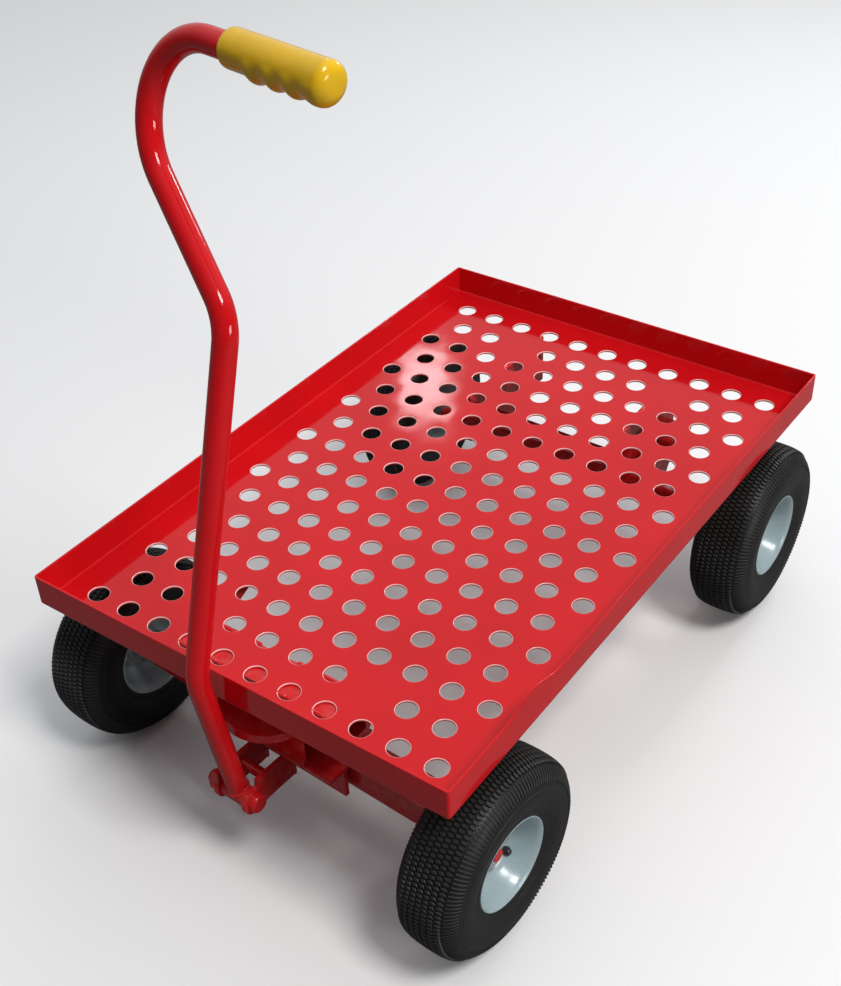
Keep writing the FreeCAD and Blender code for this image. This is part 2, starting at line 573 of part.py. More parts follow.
def wheel_pieces():
    """Shapes of one right-hand wheel, its outer side towards +X, centred on the origin."""
    hub = ring(HUB_RADIUS, AXLE_RADIUS + BORE_CLEARANCE, V(-HUB_INNER, 0, 0), V(HUB_OUTER, 0, 0))
    outer_half = rim_half(1)
    inner_half = rim_half(-1)
    bolts = []
    for number in range(RIM_BOLTS):
        angle = math.radians(90 + number * 360 / RIM_BOLTS)
        y = RIM_BOLT_CIRCLE * math.cos(angle)
        z = RIM_BOLT_CIRCLE * math.sin(angle)
        shank = rod(4.0, V(-9.5, y, z), V(RIM_SHEET, y, z))
        head = hex_prism(13.0, V(RIM_SHEET, y, z), V(RIM_SHEET + 5.3, y, z))
        nut = hex_prism(13.0, V(-RIM_SHEET, y, z), V(-RIM_SHEET - 6.5, y, z))
        bolts.append(shank.fuse(head).fuse(nut))
        hole = rod(4.0, V(-10, y, z), V(10, y, z))
        outer_half = outer_half.cut(hole)
        inner_half = inner_half.cut(hole)
    stem_base = V(3.5, 0, -STEM_CIRCLE)
    stem_neck = V(STEM_NECK, 0, -STEM_CIRCLE)
    cap_center = V(STEM_TIP - STEM_CAP_RADIUS, 0, -STEM_CIRCLE)
    stem = rod(5.6, stem_base, stem_neck).fuse(Part.makeSphere(STEM_CAP_RADIUS, cap_center))
    stem = stem.cut(outer_half)
    stem = max(stem.Solids, key=lambda solid: solid.Volume)
    tyre = tyre_solid().cut(outer_half).cut(inner_half)
    tyre = max(tyre.Solids, key=lambda solid: solid.Volume)
    return {"tyre": tyre, "rim_outer": outer_half, "rim_inner": inner_half, "hub": hub,
            "rim_bolts": Part.makeCompound(bolts), "valve": stem}


def make_wheels():
    pieces = wheel_pieces()
    corners = (("front_left", -FRONT_HALF_TRACK, FRONT_AXLE_Y, -40),
               ("front_right", FRONT_HALF_TRACK, FRONT_AXLE_Y, 46),
               ("rear_left", -REAR_HALF_TRACK, REAR_AXLE_Y, 110),
               ("rear_right", REAR_HALF_TRACK, REAR_AXLE_Y, 170))
    for corner, x, y, roll in corners:
        for piece, shape in pieces.items():
            placed = shape.copy()
            placed.rotate(V(0, 0, 0), V(1, 0, 0), roll)
            if x < 0:
                placed.rotate(V(0, 0, 0), V(0, 0, 1), 180)
            placed.translate(V(x, y, WHEEL_RADIUS))
            if corner.startswith("front"):
                placed = steered(placed)
            nodes[corner + "_" + piece] = placed


# ---------------------------------------------------------------- build

make_tray()
make_front_bolster()
make_kingpin()
make_rear_frame()
nodes["rear_axle"], nodes["rear_axle_keepers"] = make_axle(REAR_AXLE_Y, REAR_HALF_TRACK)
make_truck()
front_axle, front_keepers = make_axle(FRONT_AXLE_Y, FRONT_HALF_TRACK)
nodes["front_axle"] = steered(front_axle)
nodes["front_axle_keepers"] = steered(front_keepers)
make_tongue()
make_handle()
make_wheels()

for name, shape in nodes.items():
    shape.exportStep("parts/" + name + ".step")
whole = Part.makeCompound(list(nodes.values())).BoundBox
print("nodes", len(nodes))
print("x", round(whole.XMin, 1), round(whole.XMax, 1), "y", round(whole.YMin, 1), round(whole.YMax, 1),
      "z", round(whole.ZMin, 1), round(whole.ZMax, 1))
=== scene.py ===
import json
import math

import bmesh
import bpy
from bpy.props import FloatProperty, FloatVectorProperty, IntProperty, PointerProperty
from mathutils import Euler, Matrix, Vector


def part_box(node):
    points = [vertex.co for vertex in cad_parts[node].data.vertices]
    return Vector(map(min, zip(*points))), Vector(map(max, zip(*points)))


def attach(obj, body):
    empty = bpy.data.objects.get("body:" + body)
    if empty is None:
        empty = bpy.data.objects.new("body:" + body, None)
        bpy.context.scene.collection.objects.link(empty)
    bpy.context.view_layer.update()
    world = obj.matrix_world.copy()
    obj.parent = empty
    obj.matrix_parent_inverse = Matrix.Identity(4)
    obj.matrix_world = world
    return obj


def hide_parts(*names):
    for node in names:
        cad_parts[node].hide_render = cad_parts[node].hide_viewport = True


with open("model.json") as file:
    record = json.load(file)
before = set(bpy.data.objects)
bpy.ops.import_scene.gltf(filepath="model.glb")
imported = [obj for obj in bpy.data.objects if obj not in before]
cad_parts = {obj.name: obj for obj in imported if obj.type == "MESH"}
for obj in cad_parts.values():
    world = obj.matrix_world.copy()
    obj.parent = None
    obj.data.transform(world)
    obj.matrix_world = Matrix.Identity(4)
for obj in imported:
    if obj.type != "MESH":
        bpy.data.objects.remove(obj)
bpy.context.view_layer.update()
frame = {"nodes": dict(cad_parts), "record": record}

bl_info = {
    "name": "Pull wagon",
    "version": (1, 0, 0),
    "blender": (4, 5, 0),
    "location": "View3D > Sidebar > Wagon",
    "description": "Finishes for a garden wagon with a perforated tray and a pull handle",
    "category": "Object",
}

CORNERS = ("front_left", "front_right", "rear_left", "rear_right")
TRAY_NODES = ("tray_floor", "lip_front", "lip_rear", "lip_left", "lip_right")
LIP_LOW, LIP_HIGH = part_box("lip_front")
REAR_LIP_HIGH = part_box("lip_rear")[1]
FLOOR_LOW, FLOOR_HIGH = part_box("tray_floor")
FRONT_EDGE = LIP_LOW.y
REAR_EDGE = REAR_LIP_HIGH.y
TRAY_MIDDLE = Vector((0.0, (FRONT_EDGE + REAR_EDGE) / 2, FLOOR_HIGH.z))
JOINTS = {joint["name"]: joint for joint in frame["record"]["behaviour"]["joints"]}
KINGPIN = Vector(JOINTS["steering"]["pos_m"])
STEER_DEG = -3.0                # standing turn of the front truck
TO_STANDING_TURN = (Matrix.Translation((0, KINGPIN.y, 0))
                    @ Matrix.Rotation(math.radians(STEER_DEG), 4, "Z")
                    @ Matrix.Translation((0, -KINGPIN.y, 0)))


# ------------------------------------------------------------------ settings

class WagonTraySettings(bpy.types.PropertyGroup):
    pitch: FloatProperty(name="Hole pitch", description="Spacing of the holes in a row, and of the rows",
                         default=0.0508, unit="LENGTH")
    hole_radius: FloatProperty(name="Hole radius", description="Radius of each punched hole",
                               default=0.0131, unit="LENGTH")
    hole_round: FloatProperty(name="Hole edge", description="Rounding of a hole's upper edge",
                              default=0.0012, unit="LENGTH")
    rows: IntProperty(name="Rows", description="Rows of holes from front to back", default=17)
    places: IntProperty(name="Places", description="Holes in a long row", default=11)
    blank_x: FloatProperty(name="Blank place",
                           description="Distance of the unpunched places from the middle",
                           default=0.127, unit="LENGTH")
    fold_inside: FloatProperty(name="Inside bend", description="Inside radius where the sheet turns up",
                               default=0.0024, unit="LENGTH")
    fold_outside: FloatProperty(name="Outside bend", description="Outside radius where the sheet turns up",
                                default=0.0045, unit="LENGTH")
    sheet: FloatProperty(name="Sheet", description="Thickness of the steel sheet",
                         default=round(FLOOR_HIGH.z - FLOOR_LOW.z, 5), unit="LENGTH")
    lip: FloatProperty(name="Lip height", description="Height of the turned-up edge above the floor",
                       default=round(LIP_HIGH.z - FLOOR_HIGH.z, 5), unit="LENGTH")
    wave: FloatProperty(name="Lip wave", description="Height of the wave in the right lip's top edge",
                        default=0.012, unit="LENGTH")
    bow: FloatProperty(name="Side bow", description="How far the right side bows outwards",
                       default=0.0022, unit="LENGTH")


class WagonWheelSettings(bpy.types.PropertyGroup):
    radius: FloatProperty(name="Wheel radius", description="Radius over the tread",
                          default=0.127, unit="LENGTH")
    groove: FloatProperty(name="Tread depth", description="Depth of the tread grooves",
                          default=0.0026, unit="LENGTH")
    blocks_around: IntProperty(name="Blocks", description="Tread blocks in one row round the tyre",
                               default=128)
    block_rows: IntProperty(name="Block rows", description="Rows of tread blocks", default=7)
    row_spacing: FloatProperty(name="Row spacing", description="Distance between rows of blocks",
                               default=0.0083, unit="LENGTH")
    ribs_around: IntProperty(name="Shoulder ribs", description="Ribs on each shoulder", default=144)


class WagonHandleSettings(bpy.types.PropertyGroup):
    pipe_radius: FloatProperty(name="Pipe radius", description="Outside radius of the handle pipe",
                               default=0.01335, unit="LENGTH")
    grip_radius: FloatProperty(name="Grip radius", description="Radius of the grip's upper side",
                               default=0.0195, unit="LENGTH")
    finger_spacing: FloatProperty(name="Finger spacing", description="Distance between the finger swells",
                                  default=0.0260, unit="LENGTH")
    swell: FloatProperty(name="Swell", description="How far the finger swells stand down", default=0.0042,
                         unit="LENGTH")


class WagonFinishSettings(bpy.types.PropertyGroup):
    red: FloatVectorProperty(name="Red", description="Powder coat colour of the tray, frame and handle",
                             subtype="COLOR", size=3, default=(0.66, 0.006, 0.010))
    rim: FloatVectorProperty(name="Rim", description="Paint colour of the wheel rims",
                             subtype="COLOR", size=3, default=(0.36, 0.46, 0.49))
    yellow: FloatVectorProperty(name="Yellow", description="Colour of the soft grip",
                                subtype="COLOR", size=3, default=(0.86, 0.52, 0.012))
    rubber: FloatVectorProperty(name="Rubber", description="Colour of the tyres",
                                subtype="COLOR", size=3, default=(0.0085, 0.009, 0.0085))
    zinc: FloatVectorProperty(name="Zinc", description="Colour of the plated bolts and hubs",
                              subtype="COLOR", size=3, default=(0.56, 0.56, 0.54))
    floor: FloatVectorProperty(name="Floor", description="Colour of the studio floor",
                               subtype="COLOR", size=3, default=(0.95, 0.95, 0.95))


# ------------------------------------------------------------------ helpers

def add_piece(name, mesh, material=None):
    piece = bpy.data.objects.new(name, mesh)
    bpy.context.scene.collection.objects.link(piece)
    if material is not None:
        mesh.materials.clear()
        mesh.materials.append(material)
    return piece


def mesh_from(name, verts, faces):
    mesh = bpy.data.meshes.new(name)
    mesh.from_pydata([tuple(v) for v in verts], [], faces)
    mesh.update()
    return mesh


def shade_by_angle(mesh, sharp_deg, merge=0.0):
    """Outward faces, smooth except where two meet at more than the sharp angle; doubles may be merged."""
    sharp = math.radians(sharp_deg)
    bm = bmesh.new()
    bm.from_mesh(mesh)
    if merge:
        bmesh.ops.remove_doubles(bm, verts=bm.verts, dist=merge)
    bmesh.ops.recalc_face_normals(bm, faces=bm.faces)
    for face in bm.faces:
        face.smooth = True
    for edge in bm.edges:
        edge.smooth = len(edge.link_faces) != 2 or edge.calc_face_angle(0.0) < sharp
    bm.to_mesh(mesh)
    bm.free()


def apply_modifiers(piece):
    """Turn the evaluated piece into a plain mesh and remove its modifiers."""
    graph = bpy.context.evaluated_depsgraph_get()
    mesh = bpy.data.meshes.new_from_object(piece.evaluated_get(graph), depsgraph=graph)
    old = piece.data
    piece.modifiers.clear()
    piece.data = mesh
    if old.users == 0:
        bpy.data.meshes.remove(old)


def weigh_normals(piece):
    modifier = piece.modifiers.new("Weighted normals", "WEIGHTED_NORMAL")
    modifier.keep_sharp = True
    modifier.weight = 90
    apply_modifiers(piece)


def arc(centre_x, centre_y, radius, start_deg, end_deg, steps):
    """Points (x, y) along an arc, both ends included."""
    angles = [math.radians(start_deg + (end_deg - start_deg) * i / steps) for i in range(steps + 1)]
    return [(centre_x + radius * math.cos(a), centre_y + radius * math.sin(a)) for a in angles]


def ring_faces(rings, count):
    """Faces between successive closed rings of the same number of points."""
    faces = []
    for ring in range(rings - 1):
        a = ring * count
        for i in range(count):
            j = (i + 1) % count
            faces.append((a + i, a + j, a + count + j, a + count + i))
    return faces


def lathe(profile, steps):
    """Turn a closed profile of (x, radius) points about the X axis."""
    verts = []
    count = len(profile)
    for step in range(steps):
        angle = 2 * math.pi * step / steps
        verts += [(x, -radius * math.sin(angle), radius * math.cos(angle)) for x, radius in profile]
    faces = ring_faces(steps, count)
    last = (steps - 1) * count
    for i in range(count):
        j = (i + 1) % count
        faces.append((last + i, last + j, j, i))
    return verts, faces


def smooth_profile(points, steps):
    """Catmull-Rom curve through a list of 2-D points."""
    out = []
    for i in range(len(points) - 1):
        p0 = Vector(points[max(i - 1, 0)])
        p1 = Vector(points[i])
        p2 = Vector(points[i + 1])
        p3 = Vector(points[min(i + 2, len(points) - 1)])
        for step in range(steps):
            t = step / steps
            out.append(0.5 * (2 * p1 + (p2 - p0) * t + (2 * p0 - 5 * p1 + 4 * p2 - p3) * t * t
                              + (3 * p1 - 3 * p2 + p3 - p0) * t * t * t))
    out.append(Vector(points[-1]))
    return out


def wheel_place(corner):
    """Matrix from a wheel's own frame, outer side towards +X, to its place on the wagon."""
    joint = JOINTS["spin_" + corner]
    side = Matrix.Rotation(math.pi, 4, "Z") if "left" in corner else Matrix.Identity(4)
    steer = Matrix.Rotation(math.radians(STEER_DEG), 4, "Z") if "front" in corner else Matrix.Identity(4)
    return Matrix.Translation(joint["pos_m"]) @ steer @ side


def steered(points):
    """Points of the truck or the handle, turned from straight ahead to the standing steer angle."""
    return [TO_STANDING_TURN @ Vector(point) for point in points]


# ------------------------------------------------------------------ node tree tools

class Tree:
    """Short way to add and join nodes in one tree."""

    def __init__(self, tree):
        self.tree = tree
        self.column = 0

    def node(self, kind, inputs=None, **settings):
        node = self.tree.nodes.new(kind)
        node.location = (self.column * 180, 0)
        self.column += 1
        for key, value in settings.items():
            setattr(node, key, value)
        for key, value in (inputs or {}).items():
            self.feed(node.inputs[key], value)
        return node

    def feed(self, socket, value):
        if isinstance(value, bpy.types.NodeSocket):
            self.tree.links.new(value, socket)
        else:
            socket.default_value = value

    def math(self, operation, a, b=0.0):
        return self.node("ShaderNodeMath", {0: a, 1: b}, operation=operation).outputs[0]

    def ramp(self, value, low, high, low_out=0.0, high_out=1.0):
        return self.node("ShaderNodeMapRange", {"Value": value, "From Min": low, "From Max": high,
                                                "To Min": low_out, "To Max": high_out}).outputs[0]

    def mix(self, share, a, b, blend="MIX"):
        node = self.node("ShaderNodeMix", data_type="RGBA", blend_type=blend)
        self.feed(node.inputs[0], share)
        self.feed(node.inputs[6], a)
        self.feed(node.inputs[7], b)
        return node.outputs[2]

    def noise(self, vector, scale, detail=2.0, roughness=0.5):
        return self.node("ShaderNodeTexNoise", {"Vector": vector, "Scale": scale, "Detail": detail,
                                                "Roughness": roughness}).outputs[0]

    def patches(self, vector, scale, detail, roughness, low, high):
        """Noise stretched so that it runs from 0 at low to 1 at high."""
        return self.ramp(self.noise(vector, scale, detail, roughness), low, high)

    def group(self, tree, **values):
        return self.node("ShaderNodeGroup", values, node_tree=tree).outputs[0]

    def bump(self, shader, height, strength, distance):
        node = self.node("ShaderNodeBump", {"Height": height, "Strength": strength, "Distance": distance})
        self.feed(shader.inputs["Normal"], node.outputs[0])


def sockets(tree, inputs, outputs):
    for name, kind, default in inputs:
        socket = tree.interface.new_socket(name=name, in_out="INPUT", socket_type=kind)
        if default is not None:
            socket.default_value = default
    for name, kind in outputs:
        tree.interface.new_socket(name=name, in_out="OUTPUT", socket_type=kind)


def shade(colour, factor):
    return (colour[0] * factor, colour[1] * factor, colour[2] * factor, 1.0)


# ------------------------------------------------------------------ finishes

def edge_wear_group():
    """Mask of rubbed edges: where the surface turns sharply, broken up by noise."""
    tree = bpy.data.node_groups.new("Rubbed Edges", "ShaderNodeTree")
    sockets(tree, [("Vector", "NodeSocketVector", None), ("Amount", "NodeSocketFloat", 0.3),
                   ("Scale", "NodeSocketFloat", 60.0)], [("Mask", "NodeSocketFloat")])
    t = Tree(tree)
    group_in = t.node("NodeGroupInput")
    geometry = t.node("ShaderNodeNewGeometry")
    sharp = t.ramp(geometry.outputs["Pointiness"], 0.53, 0.62)
    broken = t.patches(group_in.outputs["Vector"], group_in.outputs["Scale"], 4.0, 0.65, 0.42, 0.62)
    both = t.math("MULTIPLY", sharp, broken)
    out = t.node("NodeGroupOutput")
    t.feed(out.inputs[0], t.math("MULTIPLY", both, group_in.outputs["Amount"]))
    return tree


def dust_group():
    """Soft dust: none above the reach, more and more below it, in uneven patches."""
    tree = bpy.data.node_groups.new("Workshop Dust", "ShaderNodeTree")
    sockets(tree, [("Vector", "NodeSocketVector", None), ("Amount", "NodeSocketFloat", 0.2),
                   ("Reach", "NodeSocketFloat", 0.25)], [("Mask", "NodeSocketFloat")])
    t = Tree(tree)
    group_in = t.node("NodeGroupInput")
    height = t.node("ShaderNodeSeparateXYZ", {0: group_in.outputs["Vector"]}).outputs[2]
    low = t.ramp(t.math("SUBTRACT", 1.0, t.math("DIVIDE", height, group_in.outputs["Reach"])), 0.0, 1.0)
    cloud = t.patches(group_in.outputs["Vector"], 22.0, 5.0, 0.6, 0.38, 0.72)
    out = t.node("NodeGroupOutput")
    t.feed(out.inputs[0], t.math("MULTIPLY", t.math("MULTIPLY", low, cloud), group_in.outputs["Amount"]))
    return tree


def orange_peel_group():
    """Fine ripple of a sprayed or powdered coat, as a height."""
    tree = bpy.data.node_groups.new("Orange Peel", "ShaderNodeTree")
    sockets(tree, [("Vector", "NodeSocketVector", None), ("Size", "NodeSocketFloat", 420.0),
                   ("Ripple", "NodeSocketFloat", 18.0)], [("Height", "NodeSocketFloat")])
    t = Tree(tree)
    group_in = t.node("NodeGroupInput")
    fine = t.noise(group_in.outputs["Vector"], group_in.outputs["Size"], 1.5, 0.4)
    broad = t.noise(group_in.outputs["Vector"], group_in.outputs["Ripple"], 2.0, 0.5)
    out = t.node("NodeGroupOutput")
    t.feed(out.inputs[0], t.math("ADD", t.math("MULTIPLY", fine, 0.35), t.math("MULTIPLY", broad, 1.6)))
    return tree


def new_material(name):
    material = bpy.data.materials.new(name)
    material.use_nodes = True
    material.node_tree.nodes.clear()
    t = Tree(material.node_tree)
    coordinates = t.node("ShaderNodeTexCoord").outputs["Object"]
    shader = t.node("ShaderNodeBsdfPrincipled")
    out = t.node("ShaderNodeOutputMaterial")
    t.feed(out.inputs["Surface"], shader.outputs[0])
    return material, t, coordinates, shader


RUBBED_RED = (0.70, 0.16, 0.14, 1.0)
# pale pink painted highlight for the rounded edges of the holes
RIM_HIGHLIGHT_PINK = (0.95, 0.72, 0.70, 1.0)
RED_DUST = (0.36, 0.20, 0.17, 1.0)
BRAKE_SPECK = (0.12, 0.12, 0.11, 1.0)
RUBBED_RIM = (0.62, 0.66, 0.66, 1.0)
ZINC_DUST = (0.20, 0.17, 0.14, 1.0)
WORN_TREAD = (0.026, 0.026, 0.024, 1.0)
TYRE_DUST = (0.040, 0.037, 0.033, 1.0)
VALVE_BLACK = (0.010, 0.010, 0.011, 1.0)
VALVE_BLOOM = (0.022, 0.022, 0.023, 1.0)
VALVE_DUST = (0.07, 0.065, 0.06, 1.0)
YELLOW_SCUFF = (0.42, 0.27, 0.05, 1.0)
FLOOR_SEEN_BY_WAGON = (0.20, 0.20, 0.20, 1.0)


def powder_coat(colour, groups):
    """Glossy red powder coat: cloudy tone, orange peel, rubbed edges, a painted highlight on the holes'
    rounded edges and a little dust low down.
    """
    material, t, place, shader = new_material("Red powder coat")
    cloud = t.patches(place, 7.0, 3.0, 0.55, 0.3, 0.7)
    tone = t.mix(cloud, shade(colour, 0.94), shade(colour, 1.05))
    wear = t.group(groups["wear"], Vector=place, Amount=0.22, Scale=70.0)
    tone = t.mix(wear, tone, RUBBED_RED)
    # painted highlight on the rounded upper edges of the holes
    rim_highlight = t.node("ShaderNodeAttribute", attribute_name="painted_rim_highlight").outputs["Fac"]
    tone = t.mix(t.math("MULTIPLY", rim_highlight, 0.9), tone, RIM_HIGHLIGHT_PINK)
    dust = t.group(groups["dust"], Vector=place, Amount=0.10, Reach=0.26)
    tone = t.mix(dust, tone, RED_DUST)
    t.feed(shader.inputs["Base Color"], tone)
    smear = t.ramp(t.noise(place, 30.0, 4.0, 0.6), 0.3, 0.75, 0.06, 0.11)
    t.feed(shader.inputs["Roughness"], t.math("ADD", smear, t.math("MULTIPLY", dust, 2.0)))
    shader.inputs["Specular IOR Level"].default_value = 0.36
    height = t.group(groups["peel"], Vector=place, Size=380.0, Ripple=14.0)
    t.bump(shader, height, 0.07, 0.0006)
    return material


def rim_paint(colour, groups):
    """Pale grey rim paint on pressed steel, with brake-dust specks and rubbed edges."""
    material, t, place, shader = new_material("Rim paint")
    cloud = t.patches(place, 26.0, 4.0, 0.55, 0.3, 0.7)
    tone = t.mix(cloud, shade(colour, 0.90), shade(colour, 1.08))
    specks = t.patches(place, 520.0, 2.0, 0.6, 0.68, 0.76)
    tone = t.mix(t.math("MULTIPLY", specks, 0.35), tone, BRAKE_SPECK)
    wear = t.group(groups["wear"], Vector=place, Amount=0.30, Scale=120.0)
    tone = t.mix(wear, tone, RUBBED_RIM)
    t.feed(shader.inputs["Base Color"], tone)
    t.feed(shader.inputs["Roughness"], t.ramp(t.noise(place, 48.0, 4.0, 0.6), 0.3, 0.75, 0.20, 0.36))
    height = t.group(groups["peel"], Vector=place, Size=600.0, Ripple=30.0)
    t.bump(shader, height, 0.14, 0.0009)
    shader.inputs["Coat Weight"].default_value = 0.25
    shader.inputs["Coat Roughness"].default_value = 0.12
    return material


def plated_steel(colour, groups):
    """Zinc plate: blotchy crystals, faint brushing and dull edges."""
    material, t, place, shader = new_material("Zinc plate")
    crystals = t.node("ShaderNodeTexVoronoi", {"Vector": place, "Scale": 240.0}).outputs["Distance"]
    blotch = t.noise(place, 60.0, 4.0, 0.6)
    tone = t.mix(t.ramp(blotch, 0.3, 0.7), shade(colour, 0.82), shade(colour, 1.12))
    dust = t.group(groups["dust"], Vector=place, Amount=0.35, Reach=0.30)
    tone = t.mix(dust, tone, ZINC_DUST)
    t.feed(shader.inputs["Base Color"], tone)
    shader.inputs["Metallic"].default_value = 0.9
    rough = t.math("ADD", t.ramp(blotch, 0.3, 0.7, 0.28, 0.42), t.math("MULTIPLY", crystals, 0.12))
    t.feed(shader.inputs["Roughness"], rough)
    t.bump(shader, t.math("ADD", crystals, blotch), 0.12, 0.0004)
    return material


def tyre_rubber(colour, groups):
    """Black rubber: painted shade in the grooves, greyer on the worn tread and dusty low down."""
    material, t, place, shader = new_material("Tyre rubber")
    shade_and_wear = t.node("ShaderNodeAttribute", attribute_name="shade_and_wear").outputs["Fac"]
    grain = t.noise(place, 900.0, 3.0, 0.6)
    cloud = t.patches(place, 30.0, 4.0, 0.6, 0.3, 0.72)
    worn = t.mix(cloud, shade(colour, 1.0), shade(colour, 1.65))
    # painted shade: the lower the value, the darker the rubber, deepest in the grooves
    tone = t.mix(shade_and_wear, shade(colour, 0.42), worn)
    raised = t.ramp(shade_and_wear, 0.75, 1.0)
    tone = t.mix(t.math("MULTIPLY", raised, 0.55), tone, WORN_TREAD)
    dust = t.group(groups["dust"], Vector=place, Amount=0.40, Reach=0.24)
    tone = t.mix(t.math("MULTIPLY", dust, 0.5), tone, TYRE_DUST)
    t.feed(shader.inputs["Base Color"], tone)
    t.feed(shader.inputs["Roughness"], t.ramp(cloud, 0.0, 1.0, 0.40, 0.56))
    shader.inputs["Specular IOR Level"].default_value = 0.40
    t.bump(shader, grain, 0.22, 0.0004)
    return material


def valve_rubber(groups):
    """Smooth black valve rubber with a dull bloom."""
    material, t, place, shader = new_material("Valve rubber")
    bloom = t.patches(place, 160.0, 3.0, 0.6, 0.35, 0.7)
    dust = t.group(groups["dust"], Vector=place, Amount=0.3, Reach=0.3)
    tone = t.mix(bloom, VALVE_BLACK, VALVE_BLOOM)
    tone = t.mix(dust, tone, VALVE_DUST)
    t.feed(shader.inputs["Base Color"], tone)
    t.feed(shader.inputs["Roughness"], t.ramp(bloom, 0.0, 1.0, 0.26, 0.42))
    return material


def dipped_vinyl(colour, groups):
    """Soft yellow vinyl: even gloss skin with faint dip ripples and scuffs."""
    material, t, place, shader = new_material("Yellow vinyl")
    cloud = t.patches(place, 26.0, 3.0, 0.55, 0.3, 0.7)
    tone = t.mix(cloud, shade(colour, 0.92), shade(colour, 1.06))
    scuff = t.patches(place, 210.0, 4.0, 0.7, 0.66, 0.80)
    tone = t.mix(t.math("MULTIPLY", scuff, 0.35), tone, YELLOW_SCUFF)
    t.feed(shader.inputs["Base Color"], tone)
    t.feed(shader.inputs["Roughness"], t.ramp(cloud, 0.0, 1.0, 0.12, 0.18))
    shader.inputs["Specular IOR Level"].default_value = 0.42
    shader.inputs["Subsurface Weight"].default_value = 0.12
    shader.inputs["Subsurface Radius"].default_value = (0.006, 0.004, 0.001)
    height = t.group(groups["peel"], Vector=place, Size=300.0, Ripple=90.0)
    t.bump(shader, height, 0.14, 0.0008)
    return material


def studio_floor(colour):
    """Pale matt floor that throws little light back up at the wagon."""
    material, t, place, shader = new_material("Studio floor")
    cloud = t.noise(place, 1.6, 3.0, 0.5)
    seen = t.mix(cloud, shade(colour, 0.985), shade(colour, 1.0))
    direct = t.node("ShaderNodeLightPath").outputs["Is Camera Ray"]
    t.feed(shader.inputs["Base Color"], t.mix(direct, FLOOR_SEEN_BY_WAGON, seen))
    shader.inputs["Roughness"].default_value = 0.75
    return material


SLOT_MATERIALS = {"red_paint": "Red powder coat", "rim_paint": "Rim paint", "zinc_steel": "Zinc plate",
                  "tyre": "Tyre rubber", "valve_rubber": "Valve rubber", "grip_vinyl": "Yellow vinyl"}


class WAGON_OT_finishes(bpy.types.Operator):
    """Build every finish and put it on the frame pieces that stay as they are"""
    bl_idname = "wagon.finishes"
    bl_label = "Finishes"

    def execute(self, context):
        colours = context.scene.wagon_finish
        groups = {"wear": edge_wear_group(), "dust": dust_group(), "peel": orange_peel_group()}
        powder_coat(colours.red, groups)
        rim_paint(colours.rim, groups)
        plated_steel(colours.zinc, groups)
        tyre_rubber(colours.rubber, groups)
        valve_rubber(groups)
        dipped_vinyl(colours.yellow, groups)
        for subpart in frame["record"]["subparts"]:
            node = frame["nodes"][subpart["node"]]
            material = bpy.data.materials[SLOT_MATERIALS[subpart["material_slot"]]]
            for slot in node.material_slots:
                slot.material = material
        return {"FINISHED"}


# ------------------------------------------------------------------ tray

CELL_STEPS = 8                  # edge steps along one side of a cell
RIM_HIGHLIGHT_SHARE = (0.0, 0.0, 1.0, 1.0, 0.25, 0.0, 0.0, 0.0)     # painted highlight shares: border, rings of the hole, border below
PLAN_CORNER = 0.004             # radius of the tray's corners in plan
LIP_EDGE = 0.0009               # rounding of the lip's cut edge
LIP_ROOT = 0.004                # height above the floor where the lip starts to stray from straight
WAVE_SETBACK = 0.157            # from the front edge to the middle of the wave
WAVE_LENGTH = 0.120
BOW_SETBACK = 0.277             # from the front edge to the middle of the outward bow
BOW_LENGTH = 0.26
SAME_PLACE = 0.001              # hole places closer than this count as one
WELD_DISTANCE = 0.00002         # points closer than this are joined


def cell_border(pitch, z):
    """Points round a square cell, counter-clockwise from the middle of its right side."""
    half = pitch / 2
    step = pitch / CELL_STEPS
    points = []
    walk = [((half, 0), (0, 1), CELL_STEPS // 2), ((half, half), (-1, 0), CELL_STEPS),
            ((-half, half), (0, -1), CELL_STEPS), ((-half, -half), (1, 0), CELL_STEPS),
            ((half, -half), (0, 1), CELL_STEPS // 2)]
    for start, direction, count in walk:
        for i in range(count):
            points.append((start[0] + direction[0] * step * i, start[1] + direction[1] * step * i, z))
    return points


def punched_cell(tray):
    """One square cell of sheet with its hole: rounded above, with a painted highlight on the rounded edge,
    crisp below.
    """
    steps = 4 * CELL_STEPS
    radius = tray.hole_radius
    bevel = tray.hole_round
    small = bevel * 0.4
    rings = arc(radius + bevel, -bevel, bevel, 90, 180, 3)
    rings += [(radius, small - tray.sheet), (radius + small, -tray.sheet)]
    verts = cell_border(tray.pitch, 0.0)
    for ring_radius, z in rings:
        verts += [(x, y, z) for x, y in arc(0.0, 0.0, ring_radius, 0, 360, steps)[:-1]]
    verts += cell_border(tray.pitch, -tray.sheet)
    mesh = mesh_from("Punched cell", verts, ring_faces(len(rings) + 2, steps))
    # how much painted highlight each ring of the hole carries
    attribute = mesh.attributes.new("painted_rim_highlight", "FLOAT", "POINT")
    attribute.data.foreach_set("value", [value for value in RIM_HIGHLIGHT_SHARE for _ in range(steps)])
    return mesh


def blank_cell(tray):
    """One square cell of sheet with no hole."""
    top = cell_border(tray.pitch, 0.0)
    steps = len(top)
    faces = [tuple(range(steps)), tuple(reversed(range(steps, 2 * steps)))]
    return mesh_from("Blank cell", top + cell_border(tray.pitch, -tray.sheet), faces)


